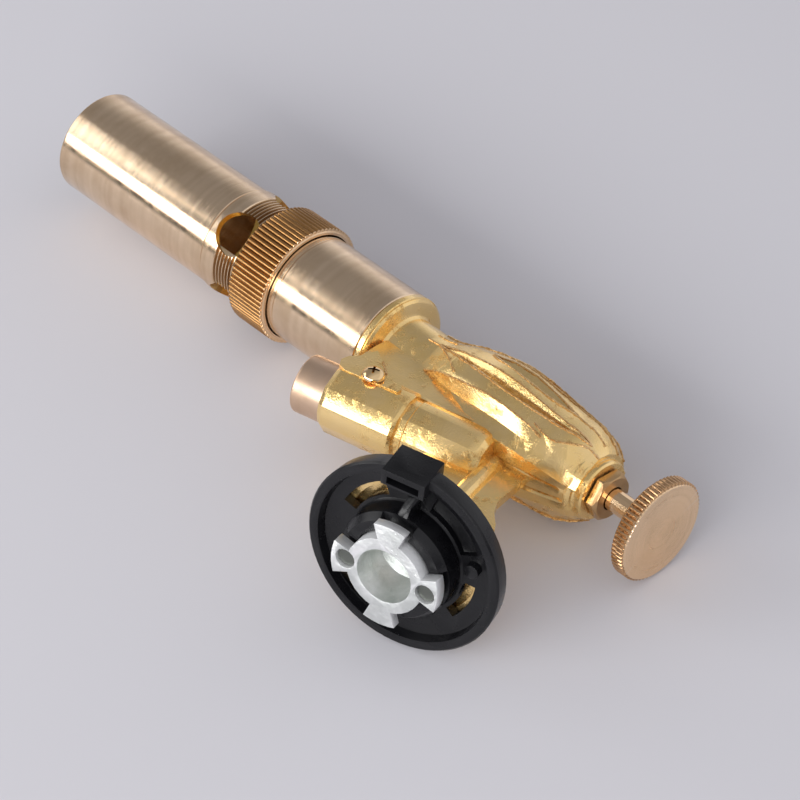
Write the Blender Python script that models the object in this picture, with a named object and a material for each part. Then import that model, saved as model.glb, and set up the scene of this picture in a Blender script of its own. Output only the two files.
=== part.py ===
"""Butane torch head for a bayonet gas cartridge, lying on its side as photographed.

All lengths are metres.  The torch is laid out in its own frame: origin at the centre of the
collar disc's front rim on the cartridge axis, +X toward the muzzle, +Y the side that faces up
when it lies down, +Z away from the cartridge.  A parent empty turns the whole torch so that it
rests on the disc rim, the air ring and the knob, with the floor at world z = 0.

Places along the body, the igniter and the cartridge are measured along their own axes.
"""
import math

import bmesh
import bpy
import numpy as np
from mathutils import Matrix, Vector

# Driving dimensions
CLEARANCE = 0.0003

# igniter axis, and the body axis above it: the line shared by barrel, spindle and knob
IGNITER_HEIGHT = 0.03835
IGNITER_TILT_DEG = 1.1
IGNITER_TO_BODY = 0.01389
AXIS_HEIGHT = IGNITER_HEIGHT + IGNITER_TO_BODY
AXIS_TILT_DEG = 15.54

# casting: barrel seat
SEAT_FACE = 0.0410
SEAT_SPIGOT_LENGTH = 0.0073
SPIGOT_END = SEAT_FACE + SEAT_SPIGOT_LENGTH

# rear barrel with its four air holes
BARREL_RADIUS = 0.0131
BARREL_WALL = 0.0017
BARREL_LENGTH = 0.0510
BARREL_BORE = BARREL_RADIUS - BARREL_WALL
BARREL_START = SEAT_FACE + CLEARANCE
BARREL_END = BARREL_START + BARREL_LENGTH
AIR_HOLE_RADIUS = 0.00545
AIR_HOLE_INSET = 0.0069
AIR_HOLE_PLACE = BARREL_END - AIR_HOLE_INSET
AIR_HOLE_ANGLES_DEG = (-43.0, 47.0, 137.0, 227.0)

# flame tube
FLAME_TUBE_WALL = 0.00103
FLAME_TUBE_RADIUS = 0.01273
FLAME_TUBE_BORE = FLAME_TUBE_RADIUS - FLAME_TUBE_WALL
FLAME_TUBE_LENGTH = 0.0508
FLAME_TUBE_START = BARREL_END + CLEARANCE
FLAME_TUBE_END = FLAME_TUBE_START + FLAME_TUBE_LENGTH
FLAME_TUBE_LIP = 0.0008
LIP_ROUND_SHARES = ((1.0, 0.0), (0.4, 0.15), (0.1, 0.45), (0.0, 0.8))

# spigot of the rear barrel inside the flame tube
BARREL_SPIGOT_RADIUS = FLAME_TUBE_BORE - CLEARANCE
BARREL_SPIGOT_WALL = 0.0011
BARREL_SPIGOT_BORE = BARREL_SPIGOT_RADIUS - BARREL_SPIGOT_WALL
BARREL_SPIGOT_LENGTH = 0.0062
BARREL_SPIGOT_END = BARREL_END + BARREL_SPIGOT_LENGTH
BARREL_BORE_STEP = 0.0008

# casting: barrel seat and neck, radii over place along the body axis
SPIGOT_RADIUS = BARREL_BORE - CLEARANCE
SEAT_LIP_PROUD = 0.00005
SEAT_LIP_RADIUS = BARREL_RADIUS + SEAT_LIP_PROUD
NECK_RADIUS = 0.00882
NECK_END = 0.0300
SEAT_DEPTH = SEAT_FACE - NECK_END
# share of the seat's depth, share of the lip radius
SEAT_SHARES = (
    (0.890, 1.0), (0.873, 0.973), (0.845, 0.981), (0.800, 0.935), (0.764, 0.806), (0.736, 0.715),
    (0.673, 0.674),
)
NECK_HIDDEN_LENGTH = 0.0080
NECK_HIDDEN_RADIUS = 0.0080

# air ring
RING_BORE = BARREL_RADIUS + CLEARANCE
RING_WALL = 0.0015
RING_RADIUS = RING_BORE + RING_WALL
RING_TOOTH_DEPTH = 0.0004
RING_ROOT_RADIUS = RING_RADIUS - RING_TOOTH_DEPTH
RING_LIP_INSET = 0.00065
RING_LIP_RADIUS = RING_RADIUS - RING_LIP_INSET
RING_LENGTH = 0.0115
RING_START = 0.0694
RING_END = RING_START + RING_LENGTH
RING_EDGE = 0.0005
RING_TEETH = 76
RING_SEAL_BORE = BARREL_RADIUS + CLEARANCE
RING_SEAL_WALL = 0.0005
RING_SEAL_RADIUS = RING_SEAL_BORE + RING_SEAL_WALL
RING_SEAL_INSET = 0.0044
RING_SEAL_WIDTH = 0.0024
RING_SEAL_START = RING_START + RING_SEAL_INSET
RING_SEAL_END = RING_SEAL_START + RING_SEAL_WIDTH
RING_GROOVE_RADIUS = RING_SEAL_RADIUS + CLEARANCE

# gas jet, its foot in a socket of the casting
JET_TUBE_RADIUS = 0.0031
JET_TUBE_WALL = 0.0015
JET_TUBE_BORE = JET_TUBE_RADIUS - JET_TUBE_WALL
JET_TUBE_LENGTH = 0.0339
JET_SOCKET_START = SEAT_FACE
JET_SOCKET_RADIUS = JET_TUBE_RADIUS + CLEARANCE
JET_SOCKET_ROOM = 0.0008
JET_TUBE_START = JET_SOCKET_START + JET_SOCKET_ROOM
JET_TUBE_END = JET_TUBE_START + JET_TUBE_LENGTH
JET_COLLAR_RADIUS = 0.0052
JET_COLLAR_LENGTH = 0.0035
JET_COLLAR_START = SPIGOT_END + CLEARANCE
JET_COLLAR_END = JET_COLLAR_START + JET_COLLAR_LENGTH
JET_NOZZLE_RADIUS = 0.0044
JET_NOZZLE_LENGTH = 0.0032
JET_NOZZLE_TAPER = 0.0024
JET_NOZZLE_START = JET_TUBE_END + CLEARANCE
JET_NOZZLE_SHOULDER = JET_NOZZLE_START + JET_NOZZLE_LENGTH
JET_NOZZLE_END = JET_NOZZLE_SHOULDER + JET_NOZZLE_TAPER
JET_NOZZLE_TIP_RADIUS = 0.0024
JET_ORIFICE_RADIUS = 0.0005

# flame holder
HOLDER_RADIUS = FLAME_TUBE_BORE - CLEARANCE
HOLDER_THICKNESS = 0.0030
HOLDER_DEPTH = 0.0228
HOLDER_START = FLAME_TUBE_END - HOLDER_DEPTH
HOLDER_END = HOLDER_START + HOLDER_THICKNESS
HOLDER_PORT_RADIUS = 0.0019
HOLDER_PORT_CIRCLE_SHARE = 0.65
HOLDER_PORTS = 8
HOLDER_CENTRE_RADIUS = 0.0022

# casting: igniter housing, as shares of its depth and radius over place along the igniter axis
HOUSING_RADIUS = 0.0082
HOUSING_START = 0.0214
HOUSING_LENGTH = 0.0189
HOUSING_END = HOUSING_START + HOUSING_LENGTH
HOUSING_SHARES = ((0.0, 0.963), (0.042, 1.0), (0.937, 1.0), (1.0, 0.915))
HOUSING_EDGES_DEG = (-5.0, -43.0, -72.0, -88.0)
HOUSING_TOP_STEPS = 12
CODE_BARREL_RADIUS = 0.0075
# share of the housing's start, share of the cylinder's radius
CODE_BARREL_SHARES = (
    (0.037, 0.400), (0.056, 0.747), (0.112, 0.907), (0.210, 0.973), (0.897, 1.0), (0.916, 0.947),
    (0.990, 0.947), (1.010, 1.027),
)
CODE_BARREL_EDGES_DEG = (-5.0, -37.0, -72.0, -88.0)

# piezo igniter: body in the rear bore, button in the front bore
PIEZO_BORE_RADIUS = 0.0062
PIEZO_BORE_START = 0.0045
CAP_BORE_RADIUS = 0.0071
CAP_BORE_START = 0.0296
PIEZO_RADIUS = PIEZO_BORE_RADIUS - CLEARANCE
PIEZO_WALL = 0.0012
PIEZO_BORE = PIEZO_RADIUS - PIEZO_WALL
PIEZO_START = PIEZO_BORE_START + CLEARANCE
PIEZO_FLOOR_INSET = 0.0142
PIEZO_FLOOR = PIEZO_START + PIEZO_FLOOR_INSET
PIEZO_END = CAP_BORE_START - CLEARANCE
CAP_RADIUS = CAP_BORE_RADIUS - CLEARANCE
CAP_WALL = 0.0012
CAP_BORE = CAP_RADIUS - CAP_WALL
CAP_START_ROOM = 0.0064
CAP_START = CAP_BORE_START + CAP_START_ROOM
CAP_LENGTH = 0.0121
CAP_END = CAP_START + CAP_LENGTH
CAP_TOP = 0.0015
CAP_FLOOR = CAP_END - CAP_TOP
CAP_EDGE = 0.0007
CAP_ROUND_SHARE = 0.3
PLUNGER_RADIUS = PIEZO_BORE - CLEARANCE
PLUNGER_ROOM = 0.0080
PLUNGER_START = PIEZO_FLOOR + PLUNGER_ROOM
PLUNGER_END = CAP_FLOOR - CLEARANCE

# electrode: lead from the igniter bore through the casting, then along the bottom of the bore
LEAD_FOOT_SHARE = 0.71
LEAD_FOOT_RISE = 0.00775
LEAD_BEND_PAST = 0.0020
LEAD_BEND_PLACE = SPIGOT_END + LEAD_BEND_PAST
LEAD_RISE = 0.0017
LEAD_OFFSET = JET_COLLAR_RADIUS + LEAD_RISE
LEAD_CHANNEL_RADIUS = 0.0013
LEAD_CHANNEL_PAST = 0.0010
INSULATOR_RADIUS = LEAD_CHANNEL_RADIUS - CLEARANCE
ELECTRODE_RADIUS = 0.0004
ELECTRODE_GAP = 0.0017
ELECTRODE_TIP_LENGTH = 0.0028
ELECTRODE_BARE_LENGTH = 0.0071
ELECTRODE_TIP_PLACE = HOLDER_START - ELECTRODE_GAP
ELECTRODE_BEND_PLACE = ELECTRODE_TIP_PLACE - ELECTRODE_TIP_LENGTH
INSULATOR_END = ELECTRODE_BEND_PLACE - ELECTRODE_BARE_LENGTH
ELECTRODE_TIP_SHARE = 0.67

# casting: fluted bulge; places are shares of its length from the middle, radii of its radius
BULGE_LENGTH = NECK_END
BULGE_RADIUS = 0.01358
BULGE_SHARES = (
    (-0.753, 0.620), (-0.733, 0.655), (-0.700, 0.707), (-0.667, 0.750), (-0.627, 0.795),
    (-0.547, 0.850), (-0.467, 0.870), (-0.420, 0.880), (-0.357, 0.892), (-0.250, 0.915),
    (-0.140, 0.940), (-0.030, 0.970), (0.080, 0.997), (0.187, 1.0), (0.287, 0.996),
    (0.380, 0.965), (0.473, 0.934), (0.567, 0.885), (0.650, 0.844), (0.733, 0.779),
    (0.813, 0.714), (0.893, 0.672), (1.0, 0.650),
)
# radius of the ridge and the keel
EDGE_SHARES = (
    (-0.753, 0.574), (-0.683, 0.666), (-0.557, 0.762), (-0.437, 0.825), (-0.357, 0.876),
    (-0.250, 0.923), (-0.140, 0.946), (0.080, 0.997), (0.187, 1.0), (0.287, 0.996),
    (0.473, 0.934), (0.650, 0.844), (0.813, 0.714), (1.0, 0.650),
)
UNDERSIDE_SHARES = (
    (-0.753, 0.530), (-0.677, 0.580), (-0.623, 0.620), (-0.543, 0.680), (-0.463, 0.735),
    (-0.377, 0.790), (-0.250, 0.875), (0.333, 0.920), (1.0, 0.626),
)
# the casting's edges: share of the bulge's length, angle in degrees
RIDGE_SHARES = (
    (-0.753, -51.0), (-0.667, -50.0), (-0.567, -44.0), (-0.467, -40.0), (-0.233, -33.0),
    (-0.033, -32.0), (0.167, -32.0), (0.467, -36.0), (0.667, -40.0), (0.767, -44.0),
    (0.883, -53.0), (1.0, -54.0),
)
KEEL_SHARES = (
    (-0.753, -70.5), (-0.700, -69.5), (-0.500, -66.0), (-0.267, -63.0), (0.333, -64.0),
    (1.0, -70.0),
)
FACET_SHARES = (
    (-0.753, -7.0), (-0.667, -10.0), (-0.547, -24.0), (-0.467, -30.5), (-0.400, -33.0),
    (-0.200, -26.0), (0.167, -25.5), (0.567, -31.0), (0.893, -4.0), (1.0, -4.0),
)
FIRST_FLUTE_SHARES = (
    (-0.753, -4.0), (-0.667, -4.4), (-0.420, -9.5), (0.167, -12.0), (0.567, -9.0),
    (0.893, -3.0), (1.0, -3.0),
)
LONG_FLUTE_SHARES = (-0.667, 0.893)
SHORT_FLUTE_SHARES = (-0.367, 0.467)
LONG_FLUTE_DEPTH = 0.0021
SHORT_FLUTE_DEPTH = 0.0018
LONG_FLUTE_HALF_DEG = 7.2
SHORT_FLUTE_HALF_DEG = 7.8
FLUTE_EDGE_DEG = 0.7
LONG_FLUTES_DEG = (38.0, 90.0)
SHORT_FLUTES_DEG = (14.0, 64.0)
FLANK_SINK_DEPTH = 0.0020
FLANK_SINK_SHARES = (-0.300, 0.900)
SLOT_ANGLE_DEG = -80.0
SLOT_DEPTH = 0.0009
SLOT_HALF_DEG = 2.5
SLOT_SHARES = (-0.740, -0.300)
LEAF_POWER_SHARE = 0.75

# casting: rear boss with two turned steps, as shares of its length and radius
BOSS_RADIUS = 0.0089
BOSS_LENGTH = 0.0041
BOSS_END = -0.0242
BOSS_SHARES = (
    (0.0, 0.770), (0.10, 0.815), (0.37, 0.815), (0.42, 0.860), (0.50, 0.895), (0.62, 0.895),
    (0.68, 0.940), (0.78, 0.985), (0.90, 0.985), (1.0, 0.940),
)
BOSS_ROOT_LENGTH = 0.0041

# casting: flat side pads between housing and barrel seat; x as shares of the housing's end,
# z as shares of the housing's radius above the igniter axis
PAD_HALF_WIDTH = 0.0086
PAD_SHARES = (
    (0.620, 0.02), (0.953, 0.02), (0.998, 0.13), (1.017, 0.37), (0.998, 0.62), (0.958, 0.77),
    (0.898, 1.30), (0.821, 0.95), (0.744, 0.50), (0.685, 0.40), (0.630, 0.34), (0.613, 0.18),
)

# casting: web between housing and neck, in the same shares
WEB_HALF_WIDTH = 0.0064
WEB_SHARES = (
    (0.199, 0.51), (0.943, 0.51), (0.983, 1.12), (0.963, 1.79), (0.918, 2.64), (0.199, 1.42),
)

# casting: foot on the cartridge collar
BASE_FLANGE_RADIUS = 0.0181
BASE_FLANGE_THICKNESS = 0.00257

# collar disc
DISC_RADIUS = 0.0230
DISC_DRAFT = 0.0003
DISC_BACK_RADIUS = DISC_RADIUS - DISC_DRAFT
DISC_BACK = 0.00433
RIM_WIDTH = 0.00234
RIM_SLOPE = 0.00056
DISC_RIM_BORE = DISC_RADIUS - RIM_WIDTH
DISC_FLOOR_RADIUS = DISC_RIM_BORE - RIM_SLOPE
DISC_FLOOR = 0.0021
DISC_HUB_RADIUS = 0.0130
DISC_HUB_CONE = 0.0013
DISC_HUB_TOP_RADIUS = DISC_HUB_RADIUS - DISC_HUB_CONE
DISC_HUB_FRONT = -0.0046
DISC_HUB_CONE_LENGTH = 0.0016
DISC_HUB_SHOULDER = DISC_HUB_FRONT + DISC_HUB_CONE_LENGTH
DISC_EDGE = 0.0004
HUB_SLOTS_DEG = ((90.0, 19.0), (270.0, 19.0), (0.0, 21.0), (180.0, 21.0))
HUB_SLOT_DEPTH = 0.0018
HUB_SLOT_FLOOR = DISC_HUB_FRONT + HUB_SLOT_DEPTH
# floor openings between hub and rim: inner and outer share of that ring, then two angles
WINDOW_SHARES = (
    (0.15, 0.60, 22.0, 66.0),
    (0.575, 0.66, 108.0, 155.0),
    (0.18, 0.51, 184.0, 222.0),
    (0.73, 0.97, 292.0, 321.0),
)
POCKET_SHARES = (0.06, 0.67, 107.0, 156.0)
POCKET_DEPTH = 0.0015
POCKET_FLOOR = DISC_FLOOR + POCKET_DEPTH
FINGER_HALF_WIDTH = 0.0009
FINGER_X = -0.0010
# share of the floor ring from the hub outward, share of the hub's front height
FINGER_SHARES = (
    (-0.28, 1.0), (-0.03, 1.0), (0.28, 0.70), (0.50, 0.44), (0.66, 0.20),
)
FINGER_ROUND_RADIUS = 0.0012
FINGER_LEAN = 0.0017
DISC_BOSS_SHARES = (-0.796, 0.199)
DISC_BOSS_RADIUS = 0.0017
DISC_BOSS_FRONT = 0.0002
TAB_X = (-0.0042, 0.0060)
TAB_INNER_INSET = 0.0044
TAB_OUTER_INSET = 0.0008
TAB_BACK_PROUD = 0.0007
TAB_Y = (DISC_RADIUS - TAB_INNER_INSET, DISC_RADIUS - TAB_OUTER_INSET)
TAB_BACK_Y = DISC_RADIUS + TAB_BACK_PROUD
TAB_FRONT = -0.0022
TAB_BACK_PAST = 0.00137
TAB_Z = (TAB_FRONT, DISC_BACK + TAB_BACK_PAST)
TAB_SIDE_WALL = 0.0013
TAB_INNER_WALL = 0.0005
TAB_OUTER_WALL = 0.0014
TAB_SLOT_X = (TAB_X[0] + TAB_SIDE_WALL, TAB_X[1] - TAB_SIDE_WALL)
TAB_SLOT_Y = (TAB_Y[0] + TAB_INNER_WALL, TAB_Y[1] - TAB_OUTER_WALL)
TAB_SLOT_DEPTH = 0.0062
TAB_SLOT_END = TAB_FRONT + TAB_SLOT_DEPTH

# casting: flange behind the disc and the leg up to the bulge
BASE_FLANGE_FRONT = DISC_BACK + CLEARANCE
BASE_FLANGE_BACK = BASE_FLANGE_FRONT + BASE_FLANGE_THICKNESS
BASE_RECESS_SHARES = (0.73, 0.873)
BASE_RECESS_DEPTH = 0.00137
BASE_RECESS_FLOOR = BASE_FLANGE_FRONT + BASE_RECESS_DEPTH
LEG_HALF_WIDTH = 0.0011
# x as shares of the flange's radius, z as shares of the igniter's height
LEG_SHARES = (
    (0.829, 0.156), (0.773, 0.860), (0.773, 1.043), (-0.221, 1.173), (-0.459, 1.147),
    (-0.459, 1.027), (-0.409, 0.717), (-0.475, 0.621), (-0.597, 0.537), (-0.829, 0.261),
    (-0.884, 0.156),
)
COLUMN_FOOT_RADIUS = 0.0040
COLUMN_ROOT_RADIUS = 0.0028
COLUMN_TOP_RADIUS = 0.0026
# places of the column's foot, root and top as shares of the igniter's height
COLUMN_SHARES = (0.156, 0.391, 1.147)

# bayonet insert
INSERT_FACE = -0.0075
INSERT_WALL = 0.0026
INSERT_RADIUS = 0.0091
INSERT_BORE = INSERT_RADIUS - INSERT_WALL
INSERT_FLOOR = 0.0022
INSERT_HOLE_RADIUS = 0.0029
INSERT_BACK = DISC_BACK
DISC_HUB_BORE = INSERT_RADIUS + CLEARANCE
LUG_TIP_RADIUS = 0.0128
LUG_THICKNESS = 0.0022
LUG_BACK = INSERT_FACE + LUG_THICKNESS
LUG_ROOT_DEPTH = 0.0011
LUG_ROOT_RADIUS = INSERT_RADIUS - LUG_ROOT_DEPTH
PLAIN_LUGS_DEG = (90.0, 270.0)
PLAIN_LUG_HALF_DEG = 17.0
PLAIN_LUG_ROOT_HALF_DEG = 15.0
SIDE_LUG_TURN_DEG = -2.5
SIDE_LUG_HALF_DEG = 18.5
SIDE_LUG_ROOT_HALF_DEG = 17.0
LUG_TIP_STEPS = 6
INSERT_SCREW_X = (0.00945, -0.0098)
INSERT_SCREW_Y = 0.0
INSERT_SCREW_RADIUS = 0.00205
INSERT_SCREW_POCKET = INSERT_SCREW_RADIUS + CLEARANCE
INSERT_SCREW_SINK = 0.0009
INSERT_SCREW_HEAD = 0.0011
INSERT_SCREW_FACE = INSERT_FACE + INSERT_SCREW_SINK
INSERT_SCREW_HEAD_BACK = INSERT_SCREW_FACE + INSERT_SCREW_HEAD
INSERT_SCREW_SEAT = INSERT_SCREW_HEAD_BACK + CLEARANCE
SIDE_LUG_WALL = 0.0006
SIDE_LUG_BACK = INSERT_SCREW_SEAT + SIDE_LUG_WALL
SCREW_BODY_RADIUS = 0.0011
SCREW_BODY_HOLE = SCREW_BODY_RADIUS + CLEARANCE
SCREW_BODY_INSET = 0.0004
SCREW_BODY_END = BASE_FLANGE_BACK - SCREW_BODY_INSET

# gas inlet
INLET_BORE_RADIUS = 0.0018
RISER_RADIUS = 0.0012
NIPPLE_RADIUS = INLET_BORE_RADIUS - CLEARANCE
NIPPLE_WALL = 0.0008
NIPPLE_BORE = NIPPLE_RADIUS - NIPPLE_WALL
NIPPLE_PROUD = 0.0014
NIPPLE_LENGTH = 0.0079
NIPPLE_TIP = INSERT_FLOOR - NIPPLE_PROUD
NIPPLE_END = NIPPLE_TIP + NIPPLE_LENGTH
NIPPLE_EDGE = 0.0003
INLET_SEAL_RADIUS = INSERT_HOLE_RADIUS - CLEARANCE
INLET_SEAL_BORE = NIPPLE_RADIUS + CLEARANCE
INLET_SEAL_FRONT = INSERT_FLOOR + CLEARANCE
INLET_SEAL_BACK = BASE_FLANGE_FRONT - CLEARANCE
FILTER_RADIUS = INLET_BORE_RADIUS - CLEARANCE
FILTER_LENGTH = 0.0018
FILTER_START = NIPPLE_END + CLEARANCE
FILTER_END = FILTER_START + FILTER_LENGTH
FILTER_ROOM = 0.0010
INLET_BORE_TOP = FILTER_END + FILTER_ROOM

# valve: bores, then what sits in them, from the knob end inward
GLAND_BORE_RADIUS = 0.0046
GLAND_BORE_END = -0.0175
SPINDLE_RADIUS = 0.0026
SPINDLE_INNER_RADIUS = 0.0029
SPINDLE_BORE_RADIUS = SPINDLE_INNER_RADIUS + CLEARANCE
SPINDLE_BORE_END = 0.0060
PASSAGE_RADIUS = 0.0012
SEAT_RADIUS = SPINDLE_BORE_RADIUS - CLEARANCE
SEAT_LENGTH = 0.0034
SEAT_END = SPINDLE_BORE_END - CLEARANCE
SEAT_START = SEAT_END - SEAT_LENGTH
SPINDLE_NEEDLE_RADIUS = 0.0006
SEAT_GAP = 0.0004
SEAT_BORE = SPINDLE_NEEDLE_RADIUS + SEAT_GAP
SPINDLE_CONE_LENGTH = 0.0049
SPINDLE_NEEDLE_LENGTH = 0.0021
SPINDLE_CONE_END = SEAT_START - SEAT_GAP
SPINDLE_CONE_START = SPINDLE_CONE_END - SPINDLE_CONE_LENGTH
SPINDLE_NEEDLE_END = SPINDLE_CONE_END + SPINDLE_NEEDLE_LENGTH
SPINDLE_LIFT_ROOM = 0.0015
SPINDLE_STEP = GLAND_BORE_END + SPINDLE_LIFT_ROOM
SPINDLE_GROOVE_INSET = 0.0040
SPINDLE_GROOVE_WIDTH = 0.0024
SPINDLE_GROOVE_START = SPINDLE_STEP + SPINDLE_GROOVE_INSET
SPINDLE_GROOVE_END = SPINDLE_GROOVE_START + SPINDLE_GROOVE_WIDTH
SPINDLE_GROOVE_RADIUS = 0.0020
SEAL_RADIUS = SPINDLE_BORE_RADIUS - CLEARANCE
SEAL_BORE = SPINDLE_GROOVE_RADIUS + CLEARANCE
SEAL_START = SPINDLE_GROOVE_START + CLEARANCE
SEAL_END = SPINDLE_GROOVE_END - CLEARANCE
PACKING_RADIUS = GLAND_BORE_RADIUS - CLEARANCE
PACKING_BORE = SPINDLE_RADIUS + CLEARANCE
PACKING_LENGTH = 0.0024
PACKING_END = GLAND_BORE_END - CLEARANCE
PACKING_START = PACKING_END - PACKING_LENGTH
GLAND_SHANK_RADIUS = GLAND_BORE_RADIUS - CLEARANCE
GLAND_SHANK_END = PACKING_START - CLEARANCE
GLAND_BORE = SPINDLE_RADIUS + CLEARANCE
GLAND_HEX_RADIUS = 0.0059
GLAND_HEX_LENGTH = 0.0027
GLAND_HEX_END = BOSS_END - CLEARANCE
GLAND_HEX_START = GLAND_HEX_END - GLAND_HEX_LENGTH
GLAND_HEX_BEVEL = 0.0005
GLAND_FACE_INSET = 0.0007
GLAND_FACE_RADIUS = GLAND_HEX_RADIUS - GLAND_FACE_INSET

# knob on the spindle's end
KNOB_RADIUS = 0.0122
KNOB_TOOTH_DEPTH = 0.0004
KNOB_ROOT_RADIUS = KNOB_RADIUS - KNOB_TOOTH_DEPTH
KNOB_BACK = -0.0379
KNOB_THICKNESS = 0.0038
KNOB_FACE = KNOB_BACK - KNOB_THICKNESS
KNOB_EDGE = 0.0003
KNOB_TEETH = 70
KNOB_HOLE_RADIUS = SPINDLE_RADIUS + CLEARANCE
KNOB_HOLE_DEPTH = 0.0029
KNOB_HOLE_END = KNOB_BACK - KNOB_HOLE_DEPTH
SPINDLE_OUTER_END = KNOB_HOLE_END + CLEARANCE

# housing screws in the pads
SCREW_X = 0.0320
SCREW_RISE = 0.00165
SCREW_Z = IGNITER_HEIGHT + SCREW_RISE
SCREW_HEAD_RADIUS = 0.00265
SCREW_HEAD_HEIGHT = 0.0019
SCREW_SEAT_Y = PAD_HALF_WIDTH + CLEARANCE
SCREW_SHANK_RADIUS = 0.0011
SCREW_SHANK_LENGTH = 0.0021
SCREW_SHANK_END_Y = SCREW_SEAT_Y - SCREW_SHANK_LENGTH
SCREW_HOLE_RADIUS = SCREW_SHANK_RADIUS + CLEARANCE
SCREW_SLOT_LENGTH = 0.0028
SCREW_SLOT_WIDTH = 0.0006
SCREW_SLOT_DEPTH = 0.0009
HEAD_DOME_SHARES = (0.0, 0.45, 0.8, 0.97)

# how far cutters run past the faces they cut
CUT_PAST = 0.0010
CUT_FAR = 0.0200
WELD = 0.000001
FLAT_ANGLE = 0.002

MITRE_LIMIT_SHARE = 0.25
TILT_STEP_SHARE = 0.00001
TILT_ROUNDS = 40
SHARP_DEG = 28.0
KNURL_SHARP_DEG = 20.0
DISC_SEGMENTS = 72
SEGMENTS_LARGE = 48
SEGMENTS_MEDIUM = 32
SEGMENTS_SMALL = 16

COLOURS = {
    "casting": ((0.83, 0.62, 0.27), 1.0, 0.28),
    "tube": ((0.72, 0.56, 0.40), 1.0, 0.35),
    "bronze": ((0.46, 0.27, 0.11), 1.0, 0.4),
    "knob": ((0.62, 0.45, 0.25), 1.0, 0.38),
    "steel": ((0.55, 0.55, 0.56), 1.0, 0.35),
    "zinc": ((0.78, 0.79, 0.78), 1.0, 0.45),
    "plastic": ((0.018, 0.018, 0.02), 0.0, 0.45),
    "rubber": ((0.03, 0.03, 0.03), 0.0, 0.7),
    "ceramic": ((0.85, 0.83, 0.78), 0.0, 0.5),
}


# Frames
def frame_matrix(height, tilt_deg):
    """Local x is the torch's +Y, local z runs along the tilted axis."""
    tilt = math.radians(tilt_deg)
    along = Vector((math.cos(tilt), 0.0, math.sin(tilt)))
    side = Vector((0.0, 1.0, 0.0))
    up = along.cross(side)
    matrix = Matrix((side, up, along)).transposed().to_4x4()
    matrix.translation = Vector((0.0, 0.0, height))
    return matrix


BODY = frame_matrix(AXIS_HEIGHT, AXIS_TILT_DEG)
IGNITER = frame_matrix(IGNITER_HEIGHT, IGNITER_TILT_DEG)
CARTRIDGE = Matrix.Identity(4)


# Mesh helpers
def polar(radius, angle_deg):
    angle = math.radians(angle_deg)
    return radius * math.cos(angle), radius * math.sin(angle)


def mesh_from(name, points, faces, frame):
    mesh = bpy.data.meshes.new(name)
    mesh.from_pydata([tuple(frame @ Vector(point)) for point in points], [], faces)
    bm = bmesh.new()
    bm.from_mesh(mesh)
    bmesh.ops.recalc_face_normals(bm, faces=bm.faces)
    bm.to_mesh(mesh)
    bm.free()
    mesh.update()
    return mesh


def solid(name, points, faces, frame=CARTRIDGE):
    obj = bpy.data.objects.new(name, mesh_from(name, points, faces, frame))
    bpy.context.scene.collection.objects.link(obj)
    return obj


def skin_rows(rows, closed_path):
    """Faces between equal rings of point indices; open paths get end caps."""
    faces = []
    count = len(rows[0])
    pairs = list(zip(rows, rows[1:]))
    if closed_path:
        pairs.append((rows[-1], rows[0]))
    for lower, upper in pairs:
        for i in range(count):
            k = (i + 1) % count
            faces.append((lower[i], lower[k], upper[k], upper[i]))
    if not closed_path:
        faces.append(tuple(reversed(rows[0])))
        faces.append(tuple(rows[-1]))
    return faces


def lathe(name, profile, segments, frame=CARTRIDGE, ring=False):
    """Turned piece from (place, radius) pairs; a ring profile closes on itself."""
    points = []
    rows = []
    for place, radius in profile:
        row = []
        for i in range(segments):
            angle = math.tau * i / segments
            row.append(len(points))
            points.append((radius * math.cos(angle), radius * math.sin(angle), place))
        rows.append(row)
    return solid(name, points, skin_rows(rows, ring), frame)


def polygon_rows(name, profile, angles_deg, frame):
    """Piece whose section is a polygon with corners at fixed angles."""
    points = []
    rows = []
    for place, radius in profile:
        row = []
        for angle in angles_deg:
            x, y = polar(radius, angle)
            row.append(len(points))
            points.append((x, y, place))
        rows.append(row)
    return solid(name, points, skin_rows(rows, False), frame)


def prism(name, outline, low, high, frame=CARTRIDGE):
    """Outline in local x and y, drawn from low to high along local z."""
    count = len(outline)
    points = [(x, y, low) for x, y in outline] + [(x, y, high) for x, y in outline]
    rows = [list(range(count)), list(range(count, count + count))]
    return solid(name, points, skin_rows(rows, False), frame)


def side_prism(name, outline, half_width):
    """Outline in torch x and z, drawn across the mid plane."""
    count = len(outline)
    points = [(x, -half_width, z) for x, z in outline] + [(x, half_width, z) for x, z in outline]
    rows = [list(range(count)), list(range(count, count + count))]
    return solid(name, points, skin_rows(rows, False))


def cylinder(name, start, end, radius, segments, frame=CARTRIDGE):
    return lathe(name, ((start, radius), (end, radius)), segments, frame)


def sector(name, inner, outer, from_deg, to_deg, low, high, steps=10):
    """Ring sector between two angles in the disc plane."""
    angles = [from_deg + (to_deg - from_deg) * i / steps for i in range(steps + 1)]
    outline = [polar(outer, a) for a in angles] + [polar(inner, a) for a in reversed(angles)]
    return prism(name, outline, low, high)


def toothed_row(tip, root, teeth):
    """Section of a straight coarse knurl: one tip and one root point per tooth."""
    row = []
    for i in range(teeth):
        for share, reach in ((0.0, tip), (0.5, root)):
            angle = math.tau * (i + share) / teeth
            row.append((reach * math.cos(angle), reach * math.sin(angle)))
    return row


def knurled(name, levels, teeth, frame, ring):
    """Levels are (place, tip radius, root radius); a ring's path closes on itself."""
    points = []
    rows = []
    for place, tip, root in levels:
        row = []
        for x, y in toothed_row(tip, root, teeth):
            row.append(len(points))
            points.append((x, y, place))
        rows.append(row)
    return solid(name, points, skin_rows(rows, ring), frame)


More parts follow.
